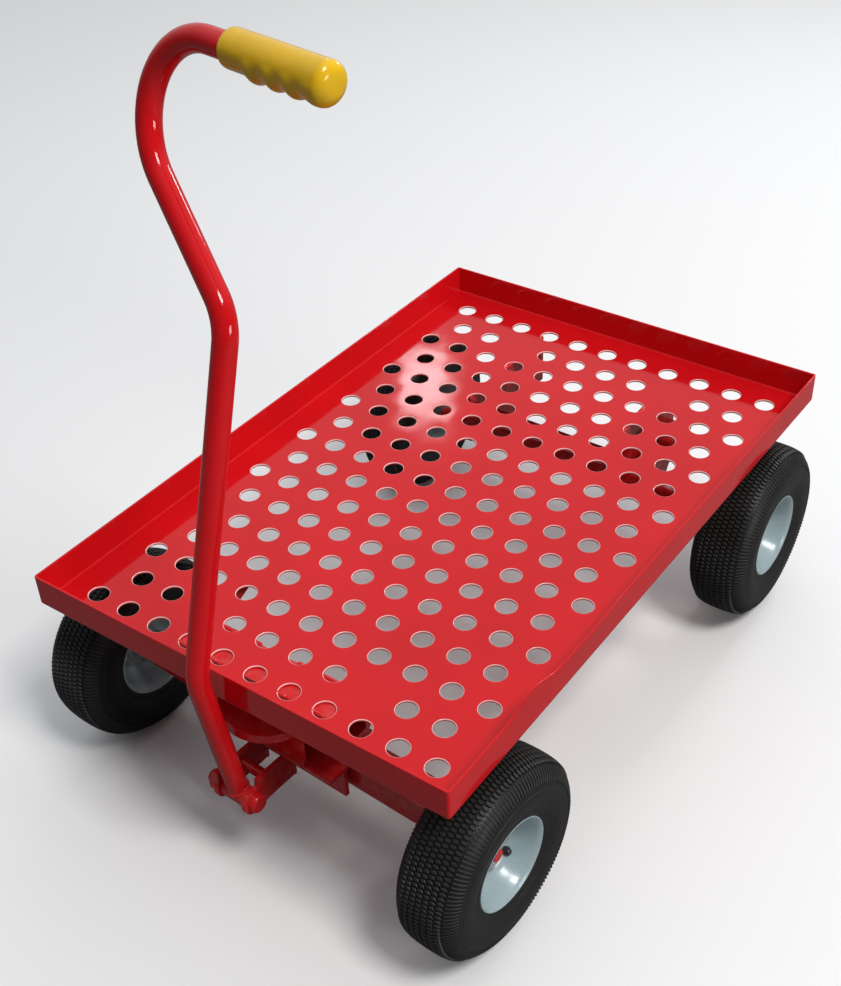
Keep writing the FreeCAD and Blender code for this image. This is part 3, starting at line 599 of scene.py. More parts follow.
def perforation_tree():
    """Geometry node tree that lays punched cells in staggered rows and welds them to the sheet."""
    tree = bpy.data.node_groups.new("Perforated Sheet", "GeometryNodeTree")
    sockets(tree, [("Geometry", "NodeSocketGeometry", None), ("Punched Cell", "NodeSocketObject", None),
                   ("Blank Cell", "NodeSocketObject", None), ("Pitch", "NodeSocketFloat", 0.05),
                   ("Rows", "NodeSocketInt", 17), ("Places", "NodeSocketInt", 11),
                   ("Blank X", "NodeSocketFloat", 0.127), ("Middle", "NodeSocketVector", None),
                   ("Finish", "NodeSocketMaterial", None)], [("Geometry", "NodeSocketGeometry")])
    t = Tree(tree)
    group = t.node("NodeGroupInput").outputs
    rows, places, pitch = group["Rows"], group["Places"], group["Pitch"]
    count = t.math("MULTIPLY", rows, places)
    index = t.node("GeometryNodeInputIndex").outputs[0]
    row = t.math("FLOOR", t.math("DIVIDE", t.math("ADD", index, 0.5), places))
    place = t.math("SUBTRACT", index, t.math("MULTIPLY", row, places))
    odd = t.math("MODULO", row, 2.0)
    across = t.math("SUBTRACT", place, t.math("DIVIDE", t.math("SUBTRACT", places, 1.0), 2.0))
    across = t.math("ADD", across, t.math("MULTIPLY", odd, 0.5))
    x = t.math("MULTIPLY", across, pitch)
    along = t.math("SUBTRACT", row, t.math("DIVIDE", t.math("SUBTRACT", rows, 1.0), 2.0))
    y = t.math("MULTIPLY", along, pitch)
    position = t.node("ShaderNodeCombineXYZ", {0: x, 1: y}).outputs[0]
    position = t.node("ShaderNodeVectorMath", {0: position, 1: group["Middle"]}, operation="ADD").outputs[0]
    points = t.node("GeometryNodePoints", {"Count": count, "Position": position}).outputs[0]
    last = t.math("COMPARE", place, t.math("SUBTRACT", places, 1.0))
    surplus = t.math("MULTIPLY", odd, last)
    points = t.node("GeometryNodeDeleteGeometry", {"Geometry": points, "Selection": surplus}).outputs[0]
    spot = t.node("ShaderNodeSeparateXYZ", {0: t.node("GeometryNodeInputPosition").outputs[0]}).outputs
    centre = t.node("ShaderNodeSeparateXYZ", {0: group["Middle"]}).outputs
    from_middle = t.math("ABSOLUTE", t.math("SUBTRACT", spot[1], centre[1]))
    end_row = t.math("MULTIPLY", t.math("SUBTRACT", t.math("DIVIDE", rows, 2.0), 1.5), pitch)
    near_end = t.math("LESS_THAN", t.math("ABSOLUTE", t.math("SUBTRACT", from_middle, end_row)), SAME_PLACE)
    off_x = t.math("ABSOLUTE", t.math("SUBTRACT", t.math("ABSOLUTE", spot[0]), group["Blank X"]))
    blank = t.math("MULTIPLY", near_end, t.math("LESS_THAN", off_x, SAME_PLACE))
    punched = t.math("SUBTRACT", 1.0, blank)
    join = t.node("GeometryNodeJoinGeometry")
    t.feed(join.inputs[0], group["Geometry"])
    for name, chosen in (("Punched Cell", punched), ("Blank Cell", blank)):
        cell = t.node("GeometryNodeObjectInfo", {"Object": group[name]}).outputs["Geometry"]
        laid = t.node("GeometryNodeInstanceOnPoints", {"Points": points, "Selection": chosen,
                                                       "Instance": cell}).outputs[0]
        t.feed(join.inputs[0], laid)
    real = t.node("GeometryNodeRealizeInstances", {"Geometry": join.outputs[0]}).outputs[0]
    welded = t.node("GeometryNodeMergeByDistance", {"Geometry": real, "Distance": WELD_DISTANCE}).outputs[0]
    finish = t.node("GeometryNodeSetMaterial", {"Geometry": welded, "Material": group["Finish"]}).outputs[0]
    t.feed(t.node("NodeGroupOutput").inputs[0], finish)
    return tree


def run_tree(piece, tree, values):
    """Put a node tree on a piece, give it its inputs and turn the result into a plain mesh."""
    modifier = piece.modifiers.new(tree.name, "NODES")
    modifier.node_group = tree
    names = {item.name: item.identifier for item in tree.interface.items_tree if item.in_out == "INPUT"}
    for name, value in values.items():
        modifier[names[name]] = value
    apply_modifiers(piece)


def tray_outline(tray, inset):
    """Plan outline of the tray at one inset: straight sides in even steps, with small round corners."""
    radius = max(PLAN_CORNER - inset, 0.0003)
    x = LIP_HIGH.x - inset
    y = (REAR_EDGE - FRONT_EDGE) / 2 - inset
    step = tray.pitch / CELL_STEPS
    across = range(-tray.places * CELL_STEPS // 2, tray.places * CELL_STEPS // 2 + 1)
    along = range(-tray.rows * CELL_STEPS // 2, tray.rows * CELL_STEPS // 2 + 1)
    points = []
    for corner_x, corner_y, start, side in ((1, -1, -90, [(x, i * step) for i in along]),
                                            (1, 1, 0, [(-i * step, y) for i in across]),
                                            (-1, 1, 90, [(-x, -i * step) for i in along]),
                                            (-1, -1, 180, [(i * step, -y) for i in across])):
        points += arc((x - radius) * corner_x, (y - radius) * corner_y, radius, start, start + 90, 4)
        points += side
    return points


def lip_profile(tray):
    """Inset and height of the sheet's section, from the floor's upper face round to its lower face."""
    inner = tray.fold_inside
    outer = tray.fold_outside
    sheet = tray.sheet
    top = tray.lip
    points = arc(sheet + inner, inner, inner, -90, -180, 3)
    points.append((sheet, top * 0.5))
    points += arc(sheet - LIP_EDGE, top - LIP_EDGE, LIP_EDGE, 0, 90, 3)
    points += arc(LIP_EDGE, top - LIP_EDGE, LIP_EDGE, 90, 180, 3)
    points.append((0.0, top * 0.5))
    points += arc(outer, outer - sheet, outer, 180, 270, 5)
    return points


def half_cell(pitch, x, y, z):
    """Points round the unpunched half cell at the end of a short row, from its front left corner."""
    width = pitch / 2
    corners = [(x, y), (x + width, y), (x + width, y + pitch), (x, y + pitch)]
    points = []
    for k, (ax, ay) in enumerate(corners):
        bx, by = corners[(k + 1) % 4]
        parts = CELL_STEPS // 2 if k % 2 == 0 else CELL_STEPS
        points += [(ax + (bx - ax) * s / parts, ay + (by - ay) * s / parts, z) for s in range(parts)]
    return points


def tray_border(tray):
    """The sheet round the punched field: half cells, margins and the turned-up lip."""
    pitch = tray.pitch
    field_x = tray.places * pitch / 2
    field_y = tray.rows * pitch / 2
    loops = [[(x, y, z) for x, y in tray_outline(tray, inset)] for inset, z in lip_profile(tray)]
    count = len(loops[0])
    verts = [point for loop in loops for point in loop]
    faces = ring_faces(len(loops), count)
    for z, loop, outer in ((0.0, loops[0], 0), (-tray.sheet, loops[-1], (len(loops) - 1) * count)):
        base = len(verts)
        for x, y, _ in loop:
            verts.append((min(max(x, -field_x), field_x), min(max(y, -field_y), field_y), z))
        for i in range(count):
            j = (i + 1) % count
            faces.append((outer + i, outer + j, base + j, base + i))
        for row in range(1, tray.rows, 2):
            for x in (-field_x, field_x - pitch / 2):
                first = len(verts)
                verts += half_cell(pitch, x, (row - tray.rows / 2) * pitch, z)
                faces.append(tuple(range(first, len(verts))))
    return verts, faces


def hump(share):
    """Smooth hump: 1 at 0, falling to 0 at a share of one half either way."""
    return 0.5 * (1 + math.cos(2 * math.pi * share)) if abs(share) < 0.5 else 0.0


def bend_lip(tray, mesh):
    """Wave in the right lip's top edge, with a slight outward bow behind it."""
    front = -(REAR_EDGE - FRONT_EDGE) / 2
    for vertex in mesh.vertices:
        x, y, z = vertex.co
        if x > LIP_HIGH.x - 2 * tray.sheet and z > LIP_ROOT:
            reach = min((z - LIP_ROOT) / (tray.lip - LIP_ROOT), 1.0)
            vertex.co.z += tray.wave * hump((y - front - WAVE_SETBACK) / WAVE_LENGTH) * reach ** 3
            vertex.co.x += tray.bow * hump((y - front - BOW_SETBACK) / BOW_LENGTH) * reach


class WAGON_OT_tray(bpy.types.Operator):
    """Fold and punch the tray"""
    bl_idname = "wagon.tray"
    bl_label = "Tray"

    def execute(self, context):
        tray = context.scene.wagon_tray
        finish = bpy.data.materials["Red powder coat"]
        cell = add_piece("punched_cell", punched_cell(tray))
        blank = add_piece("blank_cell", blank_cell(tray))
        verts, faces = tray_border(tray)
        piece = add_piece("tray", mesh_from("Tray", verts, faces))
        run_tree(piece, perforation_tree(), {
            "Punched Cell": cell, "Blank Cell": blank, "Pitch": tray.pitch, "Rows": tray.rows,
            "Places": tray.places, "Blank X": tray.blank_x, "Middle": (0.0, 0.0, 0.0), "Finish": finish})
        for helper in (cell, blank):
            bpy.data.objects.remove(helper)
        bend_lip(tray, piece.data)
        piece.data.transform(Matrix.Translation(TRAY_MIDDLE))
        shade_by_angle(piece.data, 50, WELD_DISTANCE)
        weigh_normals(piece)
        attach(piece, "chassis")
        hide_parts(*TRAY_NODES)
        return {"FINISHED"}


# ------------------------------------------------------------------ tyres and rims

# Half section of the tyre as (distance from the wheel's middle plane, drop below the crown)
CARCASS = [(0.0, 0.0), (0.012, 0.00035), (0.022, 0.0015), (0.029, 0.0037), (0.0345, 0.0078),
           (0.0388, 0.0138), (0.0415, 0.0215), (0.0430, 0.0300), (0.0432, 0.0375), (0.0422, 0.0450),
           (0.0402, 0.0520), (0.0385, 0.0570)]
BEAD = [(0.0385, 0.0570), (0.0388, 0.0590), (0.0381, 0.0612), (0.0373, 0.0632), (0.0362, 0.0645),
        (0.0345, 0.0655), (0.0320, 0.0668)]
BORE = [(0.0275, 0.0712), (0.0, 0.0712)]
TREAD_EDGE_DROP = 0.0190        # where the painted groove shade fades out into the plain sidewall
TREAD_EDGE_FADE = 0.004
# Shade and wear values: low ones paint shade into the grooves, the bore and the block feet; the block tops
# at 1 are the worn, greyer tread.
GROOVE_RELIEF = 0.02
WALL_RELIEF = 0.64
BEAD_RELIEF = 0.66
BORE_RELIEF = 0.3
RIDGE_RELIEF = 0.85
BLOCK_FOOT_RELIEF = 0.25
BLOCK_TOP = 0.0002              # points of a block higher than this are its worn top
# Sidewall rings: x, drop, facing (x, radius), half width, height
SIDEWALL_RINGS = ((0.0426, 0.0270, 1.0, 0.12, 0.0009, 0.0008), (0.0404, 0.0508, 1.0, -0.28, 0.0012, 0.0009),
                  (0.0392, 0.0552, 1.0, -0.30, 0.0008, 0.0006))
TYRE_STEPS = 128
RING_STEPS = 96
RIM_STEPS = 112
FIRST_TURN = 0.4                # radians each tyre is turned about its axle, so that no two look alike
NEXT_TURN = 1.1
RIDGE_SINK = 0.0003             # how far a ring's foot lies under the sidewall
RIDGE_ROOT = 0.002
BLOCK_ROOT = 0.0020             # depth of a tread block's foot under the carcass
BLOCK_CHAMFER = 0.0006


def tyre_section(wheel):
    """(x, radius, groove shade and wear value) from the crown to the bead on the outer side."""
    base = wheel.radius - wheel.groove
    section = []
    for x, drop in smooth_profile(CARCASS, 4)[:-1]:
        out_of_tread = min(1.0, max(0.0, (drop - TREAD_EDGE_DROP) / TREAD_EDGE_FADE))
        section.append((x, base - drop, GROOVE_RELIEF + (WALL_RELIEF - GROOVE_RELIEF) * out_of_tread))
    section += [(x, base - drop, BEAD_RELIEF) for x, drop in smooth_profile(BEAD, 3)]
    section += [(x, base - drop, BORE_RELIEF) for x, drop in BORE]
    return section


def ring_ridge(x, radius, out_x, out_r, width, height):
    """Small round ridge standing on the sidewall at (x, radius), facing (out_x, out_r)."""
    length = math.hypot(out_x, out_r)
    nx, nr = out_x / length, out_r / length
    tx, tr = -nr, nx
    points = []
    for i in range(5):
        angle = math.pi * i / 4
        along = -math.cos(angle) * width
        up = math.sin(angle) * height - RIDGE_SINK
        points.append((x + tx * along + nx * up, radius + tr * along + nr * up))
    points.append((x - nx * RIDGE_ROOT, radius - nr * RIDGE_ROOT))
    return points


def tread_rows_tree():
    """Geometry node tree that lays copies of a block in straight rows, every other row shifted."""
    tree = bpy.data.node_groups.new("Tread Rows", "GeometryNodeTree")
    sockets(tree, [("Geometry", "NodeSocketGeometry", None), ("Block", "NodeSocketObject", None),
                   ("Around", "NodeSocketInt", 100), ("Rows", "NodeSocketInt", 5),
                   ("Row Spacing", "NodeSocketFloat", 0.01), ("Pitch", "NodeSocketFloat", 0.007),
                   ("Shift", "NodeSocketFloat", 0.5), ("Finish", "NodeSocketMaterial", None)],
            [("Geometry", "NodeSocketGeometry")])
    t = Tree(tree)
    group = t.node("NodeGroupInput").outputs
    around, rows = group["Around"], group["Rows"]
    index = t.node("GeometryNodeInputIndex").outputs[0]
    row = t.math("FLOOR", t.math("DIVIDE", t.math("ADD", index, 0.5), around))
    step = t.math("SUBTRACT", index, t.math("MULTIPLY", row, around))
    shift = t.math("MULTIPLY", t.math("MODULO", row, 2.0), group["Shift"])
    y = t.math("MULTIPLY", t.math("ADD", step, shift), group["Pitch"])
    across = t.math("SUBTRACT", row, t.math("DIVIDE", t.math("SUBTRACT", rows, 1.0), 2.0))
    x = t.math("MULTIPLY", across, group["Row Spacing"])
    position = t.node("ShaderNodeCombineXYZ", {0: x, 1: y}).outputs[0]
    points = t.node("GeometryNodePoints", {"Count": t.math("MULTIPLY", around, rows),
                                           "Position": position}).outputs[0]
    block = t.node("GeometryNodeObjectInfo", {"Object": group["Block"]}).outputs["Geometry"]
    turn = t.math("MULTIPLY", t.math("GREATER_THAN", x, 0.0), math.pi)
    rotation = t.node("ShaderNodeCombineXYZ", {2: turn}).outputs[0]
    laid = t.node("GeometryNodeInstanceOnPoints", {"Points": points, "Instance": block,
                                                   "Rotation": rotation}).outputs[0]
    real = t.node("GeometryNodeRealizeInstances", {"Geometry": laid}).outputs[0]
    finish = t.node("GeometryNodeSetMaterial", {"Geometry": real, "Material": group["Finish"]}).outputs[0]
    t.feed(t.node("NodeGroupOutput").inputs[0], finish)
    return tree


def tread_block(depth):
    """Slanted tooth of the centre tread: a six-sided block with a chamfered top."""
    foot = [(-0.0043, -0.0007), (-0.0017, -0.0024), (0.0020, -0.0021), (0.0043, 0.0007), (0.0017, 0.0024),
            (-0.0020, 0.0021)]
    verts = [(x, y, -BLOCK_ROOT) for x, y in foot]
    verts += [(x, y, depth - BLOCK_CHAMFER) for x, y in foot]
    verts += [(x * 0.86, y * 0.74, depth) for x, y in foot]
    faces = [(12, 13, 14, 15, 16, 17)]
    for a in (0, 6):
        for i in range(6):
            j = (i + 1) % 6
            faces.append((a + i, a + j, a + 6 + j, a + 6 + i))
    return mesh_from("Tread block", verts, faces)


def shoulder_rib():
    """Narrow rib that runs down the shoulder: rounded top, tapered ends."""
    verts = []
    for x, half, height in ((-0.0098, 0.0014, -0.0004), (-0.0086, 0.0016, 0.0013),
                            (-0.0030, 0.0014, 0.0013), (0.0040, 0.0012, 0.0011),
                            (0.0092, 0.0009, 0.0009), (0.0104, 0.0007, -0.0004)):
        right = [(x, half * 0.45, height), (x, half, height * 0.6), (x, half, -0.0025)]
        verts += [(x, -y, z) for x, y, z in reversed(right)] + right
    faces = []
    for a in range(0, 30, 6):
        for i in range(5):
            faces.append((a + i, a + i + 1, a + 7 + i, a + 6 + i))
    faces += [(5, 4, 3, 2, 1, 0), (30, 31, 32, 33, 34, 35)]
    return mesh_from("Shoulder rib", verts, faces)


def wrap_on_tyre(wheel, flat, section):
    """Bend a flat tread strip, x across and y round, on to the carcass."""
    half = [(x, r) for x, r, _ in section]
    lengths = [0.0]
    for a, b in zip(half, half[1:]):
        lengths.append(lengths[-1] + math.hypot(b[0] - a[0], b[1] - a[1]))
    verts = []
    for vertex in flat.vertices:
        across, round_, height = vertex.co
        s = min(abs(across), lengths[-1] * 0.999)
        i = max(k for k in range(len(lengths)) if lengths[k] <= s)
        share = (s - lengths[i]) / max(lengths[i + 1] - lengths[i], 1e-9)
        x = half[i][0] + (half[i + 1][0] - half[i][0]) * share
        r = half[i][1] + (half[i + 1][1] - half[i][1]) * share
        dx, dr = half[i + 1][0] - half[i][0], half[i + 1][1] - half[i][1]
        size = math.hypot(dx, dr)
        x += -dr / size * height
        r += dx / size * height
        angle = round_ / wheel.radius
        verts.append((math.copysign(x, across), -r * math.sin(angle), r * math.cos(angle)))
    return verts


def join_parts(name, parts):
    """One mesh from (vertices, faces, reliefs) lists, with the reliefs kept as an attribute of painted
    groove shade and wear.
    """
    verts = []
    faces = []
    reliefs = []
    for part_verts, part_faces, part_reliefs in parts:
        base = len(verts)
        verts += part_verts
        faces += [tuple(base + i for i in face) for face in part_faces]
        reliefs += part_reliefs
    mesh = mesh_from(name, verts, faces)
    attribute = mesh.attributes.new("shade_and_wear", "FLOAT", "POINT")
    attribute.data.foreach_set("value", reliefs)
    return mesh


def tyre_mesh(wheel, tree, finish):
    """Whole tyre about the X axis: carcass, tread blocks, shoulder ribs and sidewall rings."""
    section = tyre_section(wheel)
    mirrored = [(-x, r, shade_and_wear) for x, r, shade_and_wear in reversed(section[1:-1])]
    loop = mirrored + section
    verts, faces = lathe([(x, r) for x, r, _ in loop], TYRE_STEPS)
    reliefs = [shade_and_wear for _ in range(TYRE_STEPS) for _, _, shade_and_wear in loop]
    parts = [(verts, faces, reliefs)]
    base = wheel.radius - wheel.groove
    for sign in (-1, 1):
        for x, drop, out_x, out_r, width, height in SIDEWALL_RINGS:
            ridge = ring_ridge(x, base - drop, out_x, out_r, width, height)
            verts, faces = lathe([(sign * px, pr) for px, pr in ridge], RING_STEPS)
            parts.append((verts, faces, [RIDGE_RELIEF] * len(verts)))
    around = 2 * math.pi * wheel.radius
    lots = ((tread_block(wheel.groove), wheel.blocks_around, wheel.block_rows, wheel.row_spacing, 0.5),
            (shoulder_rib(), wheel.ribs_around, 2, 0.0800, 0.0))
    for block, count, rows, spacing, shift in lots:
        helper = add_piece("tread_source", block)
        strip = add_piece("tread_strip", mesh_from("Tread strip", [], []))
        run_tree(strip, tree, {"Block": helper, "Around": count, "Rows": rows, "Row Spacing": spacing,
                               "Pitch": around / count, "Shift": shift, "Finish": finish})
        flat = strip.data
        parts.append((wrap_on_tyre(wheel, flat, section),
                      [tuple(polygon.vertices) for polygon in flat.polygons],
                      [1.0 if vertex.co.z > BLOCK_TOP else BLOCK_FOOT_RELIEF for vertex in flat.vertices]))
        for used in (helper, strip):
            bpy.data.objects.remove(used)
    return join_parts("Tyre", parts)


def trim_to_radius(mesh, limit):
    """Keep the tread inside the wheel's radius."""
    for vertex in mesh.vertices:
        reach = math.hypot(vertex.co.y, vertex.co.z)
        if reach > limit:
            vertex.co.y *= limit / reach
            vertex.co.z *= limit / reach


class WAGON_OT_tyres(bpy.types.Operator):
    """Mould the four tyres with their tread"""
    bl_idname = "wagon.tyres"
    bl_label = "Tyres"

    def execute(self, context):
        wheel = context.scene.wagon_wheel
        finish = bpy.data.materials["Tyre rubber"]
        shape = tyre_mesh(wheel, tread_rows_tree(), finish)
        trim_to_radius(shape, wheel.radius)
        for number, corner in enumerate(CORNERS):
            mesh = shape.copy()
            turn = Matrix.Rotation(FIRST_TURN + NEXT_TURN * number, 4, "X")
            mesh.transform(wheel_place(corner) @ turn)
            piece = add_piece(corner + "_tyre_tread", mesh, finish)
            shade_by_angle(piece.data, 40)
            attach(piece, "wheel_" + corner)
            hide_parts(corner + "_tyre")
        bpy.data.meshes.remove(shape)
        return {"FINISHED"}


# Half section of the rim as (distance from the wheel's middle plane, radius)
RIM_FACE = [(0.0020, 0.0170), (0.0020, 0.0225), (0.0026, 0.0245), (0.0038, 0.0262), (0.0038, 0.0325),
            (0.0026, 0.0345), (0.0030, 0.0368), (0.0062, 0.0414), (0.0110, 0.0450), (0.0180, 0.0481),
            (0.0260, 0.0512), (0.0320, 0.0540), (0.0350, 0.0562), (0.0362, 0.0577), (0.0371, 0.0589),
            (0.0370, 0.0599), (0.0358, 0.0602), (0.0345, 0.0596)]
RIM_BACK = [(0.0338, 0.0575), (0.0316, 0.0561), (0.0280, 0.0544), (0.0235, 0.0528)]


class WAGON_OT_rims(bpy.types.Operator):
    """Press the four split rims"""
    bl_idname = "wagon.rims"
    bl_label = "Rims"

    def execute(self, context):
        finish = bpy.data.materials["Rim paint"]
        face = [(p.x, p.y) for p in smooth_profile(RIM_FACE, 4)]
        half = face + RIM_BACK
        verts, faces = lathe(half + [(-x, r) for x, r in reversed(half)], RIM_STEPS)
        for corner in CORNERS:
            mesh = mesh_from("Rim", verts, faces)
            mesh.transform(wheel_place(corner))
            piece = add_piece(corner + "_rim", mesh, finish)
            shade_by_angle(piece.data, 45)
            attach(piece, "wheel_" + corner)
            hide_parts(corner + "_rim_outer", corner + "_rim_inner")
        return {"FINISHED"}


# ------------------------------------------------------------------ handle

PIVOT = Vector((0.0, -0.4324, 0.121))
KNEE = Vector((0.0, -0.4634, 0.333))
SHOULDER = Vector((0.0, -0.3470, 0.725))
KNEE_BEND = 0.090
SHOULDER_BEND = 0.060
HOOK_OUT = 0.115
HOOK_UP = 0.108
HOOK_RADIUS = 0.080
HOOK_TWIST = math.radians(6)
HOOK_DROOP = math.radians(2)
GRIP_GAP = 0.034
GRIP_LENGTH = 0.136
HOOK_SLANT = math.atan2(HOOK_OUT, HOOK_UP)
HOOK_STEPS = 32
BEND_STEPS = 14
PIPE_SIDES = 40
PIPE_START = 0.0110             # lower end of the pipe, above the pivot
GRIP_SIDES = 48
GRIP_STATIONS = 70
GRIP_END = 0.010                # length of the rounded end
GRIP_MOUTH = ((0.0, 0.76), (0.0, 0.93), (0.0008, 0.985), (0.0025, 1.0))     # (distance, share of radius)
GRIP_END_SHARE = 0.42           # share of the radius left where the rounded end turns flat
PIPE_IN_GRIP = 0.02
FIRST_FINGER = 0.042            # from the grip's start to the first finger swell
FINGER_REACH = 0.0080
END_SWELL = 0.122               # from the grip's start to the swell near its end
END_SWELL_REACH = 0.0125
FINGER_SIDE_FLAT = 0.0012       # how much flatter the finger side is than the palm side


def round_corner(before, corner, after, radius):
    """Points along the arc that rounds a corner of the pipe."""
    inward = (before - corner).normalized()
    outward = (after - corner).normalized()
    angle = inward.angle(outward)
    cut = radius / math.tan(angle / 2)
    centre = corner + (inward + outward).normalized() * (radius / math.sin(angle / 2))
    start = corner + inward * cut - centre
    axis = start.cross(corner + outward * cut - centre).normalized()
    turns = [(math.pi - angle) * i / BEND_STEPS for i in range(BEND_STEPS + 1)]
    return [centre + Matrix.Rotation(turn, 3, axis) @ start for turn in turns]


def hook_axes():
    """Way up the handle and way across it in the hook's own plane."""
    up = (SHOULDER - KNEE).normalized()
    across = Vector((1, 0, 0))
    return up, across * math.cos(HOOK_TWIST) - up.cross(across) * math.sin(HOOK_TWIST)


def hook_arc(up, right):
    """Point where the hook leaves the straight pipe, and the middle of its arc."""
    start = SHOULDER - right * HOOK_OUT + up * HOOK_UP
    return start, start + (right * math.cos(HOOK_SLANT) + up * math.sin(HOOK_SLANT)) * HOOK_RADIUS


def grip_axes():
    """Start of the grip, the way along it and the way up from it."""
    up, right = hook_axes()
    _, centre = hook_arc(up, right)
    top = right * math.sin(HOOK_DROOP) + up * math.cos(HOOK_DROOP)
    way = right * math.cos(HOOK_DROOP) - up * math.sin(HOOK_DROOP)
    return centre + top * HOOK_RADIUS + way * GRIP_GAP, way, top


def handle_path():
    """Centre line of the handle pipe from above the pivot to the end inside the grip."""
    up, right = hook_axes()
    hook_start, centre = hook_arc(up, right)
    corner = round_corner(PIVOT, KNEE, SHOULDER, KNEE_BEND)
    rise = (corner[0] - PIVOT).normalized()
    path = [PIVOT + rise * PIPE_START, PIVOT + rise * (PIPE_START + 0.004)]
    path += corner
    path += round_corner(KNEE, SHOULDER, hook_start, SHOULDER_BEND)
    turn = math.pi / 2 + HOOK_SLANT + HOOK_DROOP
    for i in range(HOOK_STEPS + 1):
        angle = math.pi + HOOK_SLANT - turn * i / HOOK_STEPS
        path.append(centre + (right * math.cos(angle) + up * math.sin(angle)) * HOOK_RADIUS)
    start, way, _ = grip_axes()
    path.append(start + way * PIPE_IN_GRIP)
    return path


def sweep(path, radius, sides):
    """Round tube along a path, with closed ends."""
    verts = []
    normal = Vector((1, 0, 0))
    for i, point in enumerate(path):
        before = path[max(i - 1, 0)]
        after = path[min(i + 1, len(path) - 1)]
        tangent = (after - before).normalized()
        normal = (normal - tangent * normal.dot(tangent)).normalized()
        side = tangent.cross(normal)
        for k in range(sides):
            angle = 2 * math.pi * k / sides
            verts.append(point + (normal * math.cos(angle) + side * math.sin(angle)) * radius)
    faces = ring_faces(len(path), sides)
    faces.append(tuple(reversed(range(sides))))
    faces.append(tuple(range(len(verts) - sides, len(verts))))
    return verts, faces


class WAGON_OT_handle(bpy.types.Operator):
    """Bend the handle pipe and attach it to the handle"""
    bl_idname = "wagon.handle"
    bl_label = "Handle pipe"

    def execute(self, context):
        handle = context.scene.wagon_handle
        verts, faces = sweep(handle_path(), handle.pipe_radius, PIPE_SIDES)
        mesh = mesh_from("Handle pipe", steered(verts), faces)
        shade_by_angle(mesh, 40)
        piece = add_piece("handle_pipe", mesh, bpy.data.materials["Red powder coat"])
        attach(piece, "handle")
        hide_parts("handle_tube")
        return {"FINISHED"}


def grip_radius(handle, x, angle):
    """Radius of the grip at x along it; angle 0 points down, towards the fingers."""
    down = max(0.0, math.cos(angle)) ** 0.8
    fingers = [FIRST_FINGER + i * handle.finger_spacing for i in range(3)]
    swell = max(math.exp(-((x - middle) / FINGER_REACH) ** 2) for middle in fingers)
    end = 0.9 * math.exp(-((x - END_SWELL) / END_SWELL_REACH) ** 2)
    return handle.grip_radius + down * (handle.swell * max(swell, end) - FINGER_SIDE_FLAT)


class WAGON_OT_grip(bpy.types.Operator):
    """Mould the soft grip with its finger swells and closed round end"""
    bl_idname = "wagon.grip"
    bl_label = "Grip"

    def execute(self, context):
        handle = context.scene.wagon_handle
        start, way, top = grip_axes()
        sideways = way.cross(top)
        stations = list(GRIP_MOUTH)
        mouth = GRIP_MOUTH[-1][0]
        step = (GRIP_LENGTH - GRIP_END - mouth) / GRIP_STATIONS
        stations += [(mouth + step * i, 1.0) for i in range(1, GRIP_STATIONS + 1)]
        for x, height in arc(GRIP_LENGTH - GRIP_END, 0.0, GRIP_END, 90, 0, 8)[1:]:
            stations.append((x, GRIP_END_SHARE + (1 - GRIP_END_SHARE) * height / GRIP_END))
        verts = []
        for x, scale in stations:
            for k in range(GRIP_SIDES):
                angle = 2 * math.pi * k / GRIP_SIDES
                radius = grip_radius(handle, x, angle) * scale
                spot = start + way * x - top * (radius * math.cos(angle))
                verts.append(spot + sideways * (radius * math.sin(angle)))
        faces = ring_faces(len(stations), GRIP_SIDES)
        faces.append(tuple(range(GRIP_SIDES)))
        tip = len(verts)
        last = tip - GRIP_SIDES
        verts.append(start + way * GRIP_LENGTH)
        for k in range(GRIP_SIDES):
            faces.append((last + k, last + (k + 1) % GRIP_SIDES, tip))
        mesh = mesh_from("Grip", steered(verts), faces)
        shade_by_angle(mesh, 50)
        piece = add_piece("soft_grip", mesh, bpy.data.materials["Yellow vinyl"])
        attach(piece, "handle")
        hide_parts("grip")
        return {"FINISHED"}


# ------------------------------------------------------------------ welds

WELD_RIPPLE = 0.0021            # distance from one ripple of a bead to the next
WELD_SEED = 4
RAIL_WELDS = (0.012, 0.085, 0.150)      # starts of the short beads along a rear rail
RAIL_WELD_LENGTH = 0.035
APRON_FRONT = KINGPIN.y - 0.001
BAR_FACES_X = (-0.026, 0.026, -0.020, 0.020)
BAR_WELD_LOW = 0.111
BAR_WELD_HIGH = 0.147
RISER_FACES_Y = (KINGPIN.y - 0.025, KINGPIN.y + 0.025)
RISER_WELD_X = 0.064
RISER_FOOT = 0.172
APRON_TOP = 0.167
SLEEVE_RING = 0.0128            # radius of the ring, and its height above the pivot
SLEEVE_SAG = 0.004              # how far the ring dips over the sleeve's sides


